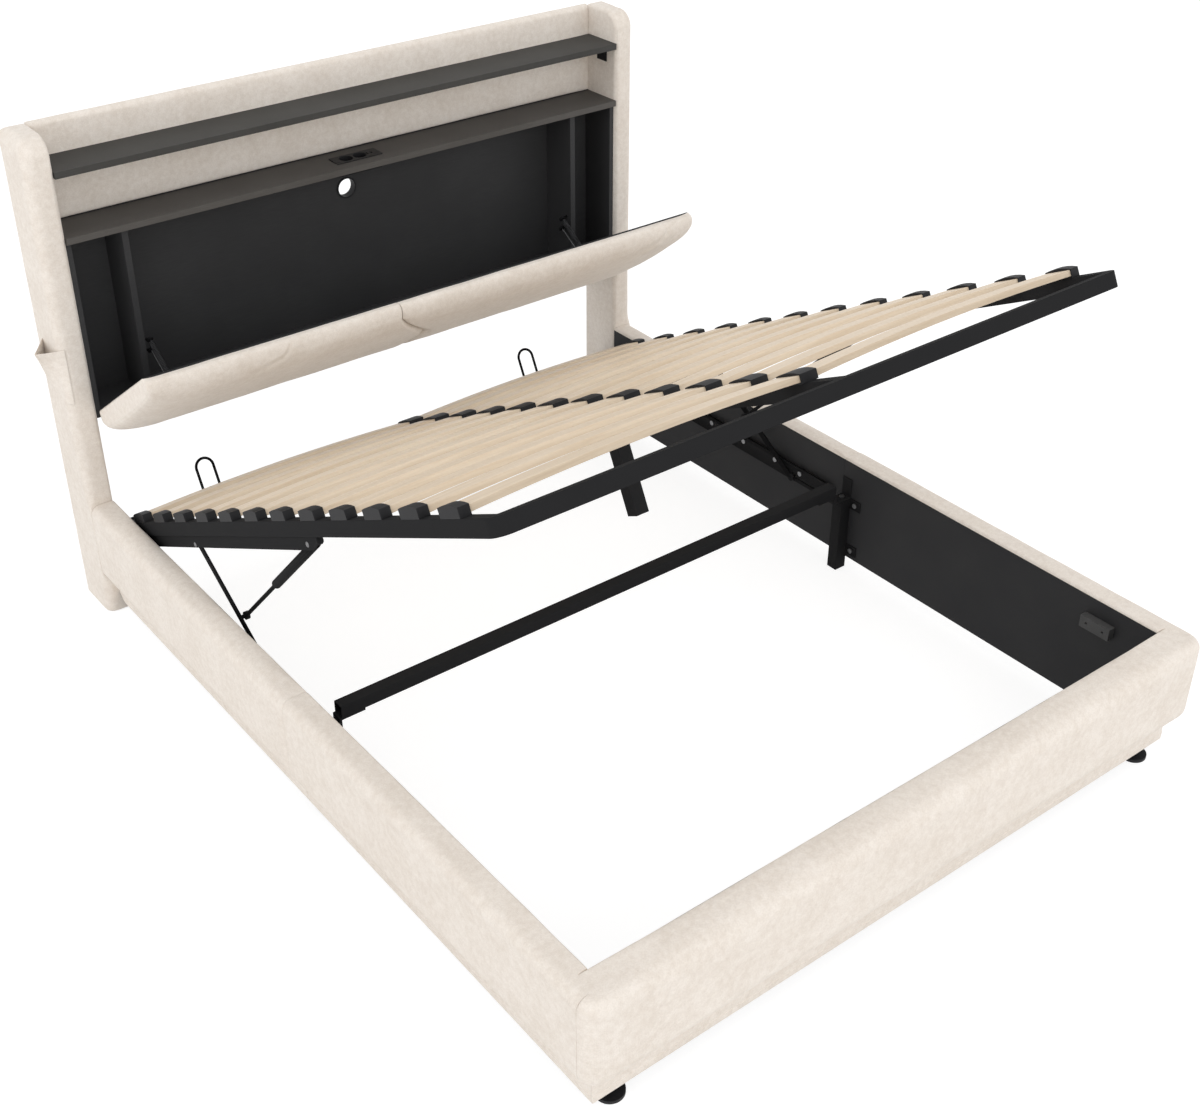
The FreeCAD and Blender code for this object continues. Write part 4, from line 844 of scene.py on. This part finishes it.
def wing_rings():
    depth = BACK_Y - WING_Y
    half = (OUTER_X - HALF) / 2
    middle_x = (OUTER_X + HALF) / 2
    offsets = list(WING_FRONT_OFFSETS)
    while offsets[-1] < depth - 0.02:
        offsets.append(offsets[-1] + WING_OFFSET_STEP)
    offsets += [depth - before_back for before_back in WING_BACK_OFFSETS]
    levels = [WING_LIFT, WING_LIFT + WING_FOOT_LOOP]
    shoulder = HEAD_TOP - WING_FRONT_ROUND
    steps = round((shoulder - WING_LIFT) / WING_LEVEL_STEP)
    levels += spread(WING_LIFT, shoulder, steps)[1:]
    for step in range(1, 15):
        levels.append(shoulder + WING_FRONT_ROUND * math.sin(math.pi / 2 * step / 14))
    rings = []
    for z in levels:
        front = WING_Y + arc_drop(z - shoulder, WING_FRONT_ROUND)
        back = BACK_Y - arc_drop(z - (HEAD_TOP - WING_BACK_ROUND), WING_BACK_ROUND)
        side = []
        for offset in offsets:
            y = front + offset * (back - front) / depth
            inner_y = WING_Y + WING_FRONT_ROUND
            if y < inner_y and z > shoulder:
                away = WING_FRONT_ROUND - math.hypot(y - inner_y, z - shoulder)
            else:
                away = min(y - WING_Y, HEAD_TOP - z)
            behind = edge_inset(back - y, WING_BACK_EDGE)
            side.append((max(edge_inset(away, outer_edge(z)), behind),
                         max(edge_inset(away, WING_INNER_EDGE), behind), y))
        ring = [Vector((middle_x + half - outer, y, z)) for outer, inner, y in side]
        ring += [Vector((middle_x - half + inner, y, z)) for outer, inner, y in reversed(side)]
        rings.append(ring)
    return rings


def wings():
    rings = wing_rings()
    last = len(rings) - 1
    half_ring = len(rings[0]) // 2
    free = [True] * half_ring + [False] * half_ring

    def held(ring, index):
        flat_inside = rings[ring][index].x < HALF + 0.0005
        return ring in (0, last) or flat_inside or rings[ring][index].y > BACK_Y - 0.012

    def ease(ring):
        return eased((rings[ring][0].z - RAIL_TOP) / FLUSH_RUN)

    rings = swell(rings, held, *WING_SWELL, ease)
    for side in ("right", "left"):
        skin = rings if side == "right" else mirrored(rings)
        cover("wing_cover_" + side, "frame", 0.9, ruffle(skin, *THIN_UNEVEN, free))


wings()


# Padded front of the back board, rolled over its top edge
def back_cover():
    section = rounded([
        (PANEL_Y, BOX_TOP + JOINT_GAP, 0),
        (PANEL_Y, HEAD_TOP, BACK_ROUND),
        (BACK_Y, HEAD_TOP, BACK_SKIN - 0.002),
        (BACK_Y, HEAD_TOP - BACK_SKIN, 0),
        (PANEL_Y + BACK_SKIN, HEAD_TOP - BACK_SKIN, 0),
        (PANEL_Y + BACK_SKIN, BOX_TOP + JOINT_GAP, 0),
    ], SECTION_SPACING)
    core_y = PANEL_Y + BACK_SKIN - TOUCH
    core_top = HEAD_TOP - BACK_SKIN + TOUCH
    free = [y <= core_y or z >= core_top for y, z in section]
    start = -HALF + JOINT_GAP
    rings = []
    for x in stations(start, -start, BACK_SPACING, BACK_END[1]):
        draw = end_draw(min(x - start, -start - x), *BACK_END)
        rings.append([Vector((x, y, z)) for y, z in shifted(section, free, draw)])
    rings = swell(rings, held_ends(rings, free), *BACK_SWELL)
    cover("back_cover", "frame", 0.85, ruffle(rings, *THIN_UNEVEN, free))


back_cover()


# Flap pads: two crowned cushions that meet in the middle of the flap
def flap_place(x, up, out):
    y = AXIS.y - out * math.cos(FLAP_ANGLE) - up * math.sin(FLAP_ANGLE)
    z = AXIS.z - out * math.sin(FLAP_ANGLE) + up * math.cos(FLAP_ANGLE)
    return Vector((x, y, z))


# A smooth line through points, with a few steps from each to the next
def smooth_line(points, steps):
    line = []
    last = len(points) - 1
    for index in range(last):
        before = Vector(points[max(index - 1, 0)])
        here = Vector(points[index])
        there = Vector(points[index + 1])
        after = Vector(points[min(index + 2, last)])
        for step in range(steps):
            share = step / steps
            bend = (there - before) * 0.5
            next_bend = (after - here) * 0.5
            arrived = 3 * share ** 2 - 2 * share ** 3
            leaving = share ** 3 - 2 * share ** 2 + share
            arriving = share ** 3 - share ** 2
            line.append(here * (1 - arrived) + bend * leaving + there * arrived + next_bend * arriving)
    line.append(Vector(points[-1]))
    return line


# The padded side runs from the free edge, round the nose, to the hinge; the flat side lies on the board
def flap_section():
    skin = FLAP_BOARD + SKIN_GAP
    tip = FLAP_LENGTH + FLAP_OVERHANG
    crown = FLAP_CROWN + FLAP_BOARD
    edge = FLAP_LENGTH + SKIN_GAP
    padded_side = smooth_line([
        (tip - 0.016, FLAP_RETURN + 0.0015),
        (tip - 0.004, crown * 0.15),
        (tip, crown * 0.30),
        (tip - 0.006, crown * 0.50),
        (tip - 0.024, crown * 0.70),
        (tip - 0.060, crown * 0.86),
        (FLAP_LENGTH * 0.70, crown * 0.96),
        (FLAP_LENGTH * 0.44, crown),
        (FLAP_LENGTH * 0.20, crown * 0.97),
        (FLAP_LENGTH * 0.08, crown * 0.86),
        (FLAP_LENGTH * 0.03, crown * 0.66),
        (FLAP_START, crown * 0.42),
    ], 6)
    flat_side = rounded([
        (FLAP_START, skin, 0),
        (edge, skin, 0),
        (edge, FLAP_RETURN, 0),
    ], 0.012)
    flat_side = flat_side[:flat_side.index(Vector((edge, FLAP_RETURN))) + 1]
    return flat_side, padded_side


def fuller(up, out, fullness):
    height = min(up, FLAP_LENGTH) + max(up - FLAP_LENGTH, 0.0) * fullness
    depth = min(out, FLAP_BOARD) + max(out - FLAP_BOARD, 0.0) * fullness
    return height, depth


# How deep the middle seam is drawn, from none at the free edge to all past the nose
def seam_depth(up, out):
    if up < FLAP_LENGTH:
        return 1.0
    return min(1.0, max(0.0, (out - 0.012) / 0.060)) ** 1.5


# How far the middle seam leans to the left, from the crown to the free edge
def seam_lean(up):
    share = (up - FLAP_LEAN_FROM) / FLAP_LEAN_RUN
    return FLAP_SEAM_LEAN * min(1.0, max(0.0, share))


# How far the cloth's return over the board's free edge rises toward the flap's ends
def return_rise(x, up, out):
    if up < FLAP_LENGTH or out > 2 * FLAP_RETURN:
        return 0.0
    share = min(1.0, max(0.0, (x - FLAP_HALF + FLAP_RETURN_RUN) / FLAP_RETURN_RUN))
    return (FLAP_RETURN - FLAP_END_RETURN) * share * share


def flap_rings(sign):
    flat_side, padded_side = flap_section()
    section = flat_side + padded_side
    start = FLAP_SEAM
    end = FLAP_HALF - FLAP_SEAM
    places = {start, end}
    places.update(end - FLAP_END[1] * share for share in FLAP_END_SHARES)
    places.update(start + FLAP_MIDDLE[1] * share for share in FLAP_MIDDLE_SHARES)
    inner_start = start + FLAP_MIDDLE[1]
    inner_end = end - FLAP_END[1]
    steps = round((inner_end - inner_start) / FLAP_SPACING)
    places = sorted(places.union(spread(inner_start, inner_end, steps)[1:-1]))
    wrapped = [FLAP_HALF + SKIN_GAP, FLAP_HALF + END_LOOP, FLAP_HALF + FLAP_WRAP]
    rings = []
    for x in places + wrapped:
        ends = 1 - end_draw(max(end - x, 0.0), *FLAP_END)
        if x == wrapped[-1]:
            ends *= 0.9
        lean = max(0.0, 1 - x / FLAP_SEAM_BLEND) ** 2
        ring = []
        for number, (up, out) in enumerate(section):
            drawn = end_draw(x - start, *FLAP_MIDDLE) * seam_depth(up, out)
            height, depth = fuller(up, out, ends * (1 - drawn))
            depth -= return_rise(x, up, out)
            if x in wrapped[1:] and number < len(flat_side):
                depth = 0.0005
            leaned = lean * seam_lean(up)
            ring.append(flap_place(sign * x + leaned, height, depth))
        rings.append(ring)
    free = [False] * len(flat_side) + [True] * len(padded_side)
    return rings, places + wrapped, section, free


# The stretch of the flap's length that a crease reaches
def crease_span(points):
    along = [point[0] for point in points]
    return min(along) - CREASE_REACH, max(along) + CREASE_REACH


# More rings in the stretch that holds a crease
def finer(rings, places, spacing, low, high):
    close = [rings[0]]
    close_places = [places[0]]
    for number in range(1, len(rings)):
        gap = places[number] - places[number - 1]
        steps = 1
        if low < places[number] < high:
            steps = max(1, math.ceil(gap / spacing))
        for step in range(1, steps + 1):
            share = step / steps
            close.append([one.lerp(other, share) for one, other in zip(rings[number - 1], rings[number])])
            close_places.append(places[number - 1] + gap * share)
    return close, close_places


# How far a place lies from a line, and how far along the line that is
def beside_line(place, line):
    nearest = None
    run = 0.0
    for start, end in zip(line, line[1:]):
        along = end - start
        share = min(1.0, max(0.0, (place - start).dot(along) / along.length_squared))
        away = (place - start - along * share).length
        if nearest is None or away < nearest[0]:
            nearest = (away, run + along.length * share)
        run += along.length
    return nearest[0], nearest[1] / run


# A crease presses a groove into the rolled edge, fading out toward both of its ends
def creased(rings, places, section, sign, points):
    line = smooth_line(points, 5)
    low, high = crease_span(points)
    result = []
    for ring, x in zip(rings, places):
        if x < low or x > high:
            result.append(ring)
            continue
        inside = flap_place(sign * x, FLAP_LENGTH * 0.9, FLAP_CROWN * 0.4)
        row = []
        for point, (up, out) in zip(ring, section):
            if up < FLAP_LENGTH * 0.75 or out < FLAP_RETURN + 0.001:
                row.append(point)
                continue
            away, share = beside_line(Vector((x, out)), line)
            fade = min(1.0, share / CREASE_FADE[0], (1 - share) / CREASE_FADE[1])
            groove = math.exp(-(away / CREASE_WIDTH) ** 2)
            lip = 0.35 * math.exp(-((away - 2.4 * CREASE_WIDTH) / CREASE_WIDTH) ** 2)
            row.append(point + (inside - point).normalized() * (CREASE_DEPTH * fade * (groove - lip)))
        result.append(row)
    return result


def flap_pads():
    for side, sign, crease in (("right", 1, CREASE_RIGHT), ("left", -1, CREASE_LEFT)):
        rings, places, section, free = flap_rings(sign)
        last = len(rings) - 1

        def held(ring, index):
            return ring == 0 or ring > last - 3 or not free[index]

        pad = swell(rings, held, *FLAP_SWELL)
        pad = ruffle(pad, *FLAP_UNEVEN, free)
        pad, places = finer(pad, places, CREASE_FINENESS, *crease_span(crease))
        pad = creased(pad, places, section, sign, crease)
        cover("flap_pad_" + side, "flap", 0.75, pad)


flap_pads()


# Cloth pocket: one panel that leaves the wing's front flat and comes back behind its peak
def pocket_line(share, hem, inner):
    reach = POCKET_REACH * share
    peak = POCKET_PEAK_LOW + (POCKET_PEAK_HIGH - POCKET_PEAK_LOW) * share
    line = []
    count = 40
    for index in range(count + 1):
        along = index / count
        rising = math.exp(-(along / peak) ** POCKET_RISE / POCKET_SOFT)
        falling = math.exp(-((1 - along) / (1 - peak)) ** POCKET_FALL / POCKET_SOFT)
        bulge = max(0.0, -POCKET_SOFT * math.log(rising + falling))
        z = POCKET_LOW + (POCKET_HIGH - POCKET_SAG * share * math.sin(math.pi * along) - POCKET_LOW) * share
        from_front = POCKET_FROM_FRONT + POCKET_WIDTH * along
        side = OUTER_X - edge_inset(from_front, WING_OUTER_EDGE)
        outer = max(reach * bulge, POCKET_SKIN) + hem
        x = side + (max(reach * bulge - POCKET_WALL, 0.0) if inner else outer)
        line.append(Vector((-x, WING_Y + from_front, z)))
    return line


def pocket():
    hem_share = 1 - POCKET_HEM / (POCKET_HIGH - POCKET_LOW)
    shares = [hem_share * step / 16 for step in range(17)]
    shares += [hem_share + 0.003] + [hem_share + (1 - hem_share) * step / 4 for step in range(1, 5)]
    outer = []
    inner = []
    for share in shares:
        hem = POCKET_HEM_THICK if share > hem_share else 0.0
        outer.append(pocket_line(share, hem, False))
        inner.append(pocket_line(share, hem, True))
    layers = outer + list(reversed(inner))
    width = len(layers[0])
    verts = [point for line in layers for point in line]
    faces = []
    for row in range(len(layers)):
        following = (row + 1) % len(layers)
        for index in range(width - 1):
            low = row * width + index
            high = following * width + index
            faces.append((low, low + 1, high + 1, high))
    for side in (0, width - 1):
        for row in range(len(shares) - 1):
            low = row * width + side
            across = (len(layers) - 1 - row) * width + side
            faces.append((low, low + width, across - width, across))
    piece = add_piece("side_pocket_cloth", mesh_from(verts, faces), CREAM)
    dress(piece, "frame", "cream_fabric", "side_pocket")


pocket()


# Slats: bowed strips with eased edges, layered at their long sides
def platform_place(x, s, h):
    y = FOOT_Y + PLATFORM_FOOT_GAP + s - PIVOT.y
    z = PLATFORM_REST + h - PIVOT.z
    return Vector((x, PIVOT.y + y * math.cos(LIFT) + z * math.sin(LIFT),
                   PIVOT.z - y * math.sin(LIFT) + z * math.cos(LIFT)))


def slat_rings(number, sign):
    pitch = (PLATFORM_LENGTH - SLAT_FIRST - SLAT_LAST_GAP) / (SLATS - 1)
    middle = SLAT_FIRST + number * pitch
    low = TUBE_HEIGHT + SLAT_SEAT
    section = rounded([
        (-SLAT_WIDTH / 2, 0, SLAT_EDGE),
        (SLAT_WIDTH / 2, 0, SLAT_EDGE),
        (SLAT_WIDTH / 2, SLAT_THICK, SLAT_EDGE),
        (-SLAT_WIDTH / 2, SLAT_THICK, SLAT_EDGE),
    ], 0.017, 4)
    rings = []
    span = SLAT_OUT - SLAT_IN
    steps = 26
    for step in range(steps + 1):
        share = step / steps
        rise = SLAT_BOW * (1 - (2 * share - 1) ** 2)
        x = sign * (SLAT_IN + span * share)
        rings.append([platform_place(x, middle + s, low + rise + h) for s, h in section])
    return rings


def slats():
    for side, sign in (("right", 1), ("left", -1)):
        parts = [slat_rings(number, sign) for number in range(SLATS)]
        name = "slats_" + side
        piece = make_piece(name + "_bowed", parts, BIRCH, 0)
        piece.data.materials.append(BIRCH_EDGE)
        forward = (platform_place(0, 1, 0) - platform_place(0, 0, 0)).normalized()
        for face in piece.data.polygons:
            if abs(face.normal.dot(forward)) > 0.75 or abs(face.normal.x) > 0.9:
                face.material_index = 1
        dress(piece, "platform", "birch", name)


slats()


# Domed heads of the lift pins, riveted on the outer faces of the arms
def pin_heads():
    arm_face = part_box("lift_arm_right")[1].x
    pivot_s = PIVOT.y - FOOT_Y - PLATFORM_FOOT_GAP
    sides = 24
    parts = []
    for sign in (1, -1):
        for from_pivot, drop in (LINK_TOP, STRUT_TOP):
            rings = []
            for step in range(7):
                angle = math.pi / 2 * step / 6.5
                radius = PIN_HEAD * math.cos(angle)
                x = sign * (arm_face - 0.0003 + PIN_HEAD_HIGH * math.sin(angle))
                ring = []
                for corner in range(sides):
                    turn = 2 * math.pi * corner / sides
                    ring.append(platform_place(x, pivot_s - from_pivot + radius * math.cos(turn),
                                               radius * math.sin(turn) - drop))
                rings.append(ring)
            parts.append(rings)
    dress(make_piece("arm_pin_heads", parts, STEEL, 0), "platform", "bare_steel")


pin_heads()


# Springs and check wires, which follow the flap at their lower ends
def tube(path, radius, sides):
    rings = []
    count = len(path)
    reference = Vector((1, 0, 0))
    for index in range(count):
        along = (path[min(index + 1, count - 1)] - path[max(index - 1, 0)]).normalized()
        side = (reference - along * reference.dot(along)).normalized()
        reference = side
        other = along.cross(side)
        ring = []
        for step in range(sides):
            angle = 2 * math.pi * step / sides
            ring.append(path[index] + side * (radius * math.cos(angle)) + other * (radius * math.sin(angle)))
        rings.append(ring)
    return rings


def spring_path(x, low, high):
    start = Vector((x, low.y, low.z))
    end = Vector((x, high.y, high.z))
    axis = (end - start).normalized()
    start = start + axis * SEAT_HALF
    length = (end - start).length - SEAT_HALF
    side = Vector((1, 0, 0))
    other = axis.cross(side)
    run = SPRING_TURNS * SPRING_PITCH
    lead = (length - run) / 2
    path = []
    for step in range(5):
        path.append(start + side * (SPRING_COIL * step / 5) + axis * (lead * step / 5))
    per_turn = 16
    for step in range(SPRING_TURNS * per_turn + 1):
        angle = 2 * math.pi * step / per_turn
        radial = side * math.cos(angle) + other * math.sin(angle)
        path.append(start + radial * SPRING_COIL + axis * (lead + SPRING_PITCH * step / per_turn))
    for step in range(1, 6):
        path.append(start + side * (SPRING_COIL * (1 - step / 5)) + axis * (lead + run + lead * step / 5))
    return path


def springs_and_wires():
    wire_lug = flap_place(0, WIRE_LUG_UP, -WIRE_LUG_BACK)
    for name, material, high, low in (("flap_springs", SPRING_STEEL, SPRING_FIXED, SPRING_LUG),
                                      ("flap_check_wires", STEEL, WIRE_FIXED, wire_lug)):
        parts = []
        for x in (SPRING_X, -SPRING_X):
            if name == "flap_springs":
                parts.append(tube(spring_path(x, low, high), SPRING_WIRE, 6))
            else:
                top = Vector((x, high.y, high.z))
                foot = Vector((x, low.y, low.z))
                path = [foot.lerp(top, step / 24) for step in range(25)]
                parts.append(tube(path, WIRE_RADIUS, 8))
        piece = make_piece(name + "_drawn", parts, material, 0)
        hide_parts(name)
        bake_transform(piece)


springs_and_wires()


# Floor, backdrop, light and camera
FLOOR_REACH = 12.0
FLOOR_GLOW = 0.80
FLOOR_SHADE = 0.36
FLOOR_BOUNCE = 0.84
WORLD_LIGHT = 0.85
LAMP_AIM = Vector((0.0, 0.1, 0.45))
LAMPS = (
    ("key_front", (-1.6, -8.5, 3.6), 6.5, 168.0),
    ("key_left", (-8.0, 0.9, 2.8), 5.5, 130.0),
    ("fill_top", (0.4, -0.6, 5.0), 4.0, 12.0),
    ("fill_right", (5.5, -6.5, 2.8), 4.5, 46.0),
)


def even(level):
    return (level, level, level, 1)


# One look for rays that reach the camera, and another for the light that falls on the bed
def seen_or_lit(tree, seen, lit):
    path = tree.add("LightPath")
    share = path.outputs["Is Camera Ray"]
    for ray in ("Is Glossy Ray", "Is Transmission Ray"):
        share = tree.add("Math", {0: share, 1: path.outputs[ray]}, operation="MAXIMUM").outputs[0]
    return tree.add("MixShader", {0: share, 1: lit, 2: seen}).outputs[0]


def floor_material():
    material = bpy.data.materials.new("studio_floor")
    tree = NodeTree(material)
    glow = tree.add("Emission", {"Color": even(1), "Strength": FLOOR_GLOW}).outputs[0]
    shade = tree.add("BsdfDiffuse", {"Color": even(FLOOR_SHADE)}).outputs[0]
    both = tree.add("AddShader", {0: glow, 1: shade}).outputs[0]
    bounce = tree.add("BsdfDiffuse", {"Color": even(FLOOR_BOUNCE)}).outputs[0]
    tree.add("OutputMaterial", {0: seen_or_lit(tree, both, bounce)})
    return material


def studio():
    reach = FLOOR_REACH
    mesh = bpy.data.meshes.new("studio_floor")
    mesh.from_pydata([(-reach, -reach, 0), (reach, -reach, 0), (reach, reach, 0), (-reach, reach, 0)], [],
                     [(0, 1, 2, 3)])
    mesh.materials.append(floor_material())
    floor = bpy.data.objects.new("studio_floor", mesh)
    scene.collection.objects.link(floor)
    world = bpy.data.worlds.new("studio")
    tree = NodeTree(world)
    lit = tree.add("Background", {"Color": even(1), "Strength": WORLD_LIGHT}).outputs[0]
    white = tree.add("Background", {"Color": even(1), "Strength": 1.0}).outputs[0]
    tree.add("OutputWorld", {0: seen_or_lit(tree, white, lit)})
    scene.world = world
    for name, place, size, power in LAMPS:
        light = bpy.data.lights.new(name, "AREA")
        light.shape = "SQUARE"
        light.size = size
        light.energy = power
        lamp = bpy.data.objects.new(name, light)
        lamp.location = place
        lamp.rotation_mode = "QUATERNION"
        lamp.rotation_quaternion = (LAMP_AIM - Vector(place)).to_track_quat("-Z", "Y")
        scene.collection.objects.link(lamp)


CAMERA_PLACE = (-2.0736, -2.6548, 2.5717)
CAMERA_AZIMUTH = math.radians(-37.77)
CAMERA_RISE = math.radians(32.64)
CAMERA_LENS = 49.85
CAMERA_SHIFT = (0.0065, -0.02025)


def camera():
    data = bpy.data.cameras.new("photo_camera")
    data.sensor_fit = "HORIZONTAL"
    data.sensor_width = 36.0
    data.lens = CAMERA_LENS
    data.shift_x = CAMERA_SHIFT[0]
    data.shift_y = CAMERA_SHIFT[1]
    data.clip_start = 0.05
    data.clip_end = 60.0
    eye = bpy.data.objects.new("photo_camera", data)
    back = Vector((math.sin(CAMERA_AZIMUTH) * math.cos(CAMERA_RISE),
                   -math.cos(CAMERA_AZIMUTH) * math.cos(CAMERA_RISE), math.sin(CAMERA_RISE)))
    right = Vector((math.cos(CAMERA_AZIMUTH), math.sin(CAMERA_AZIMUTH), 0.0))
    up = back.cross(right)
    turn = Matrix((right, up, back)).transposed().to_4x4()
    eye.matrix_world = Matrix.Translation(CAMERA_PLACE) @ turn
    scene.collection.objects.link(eye)
    scene.camera = eye


studio()
camera()
scene.view_settings.view_transform = "Standard"
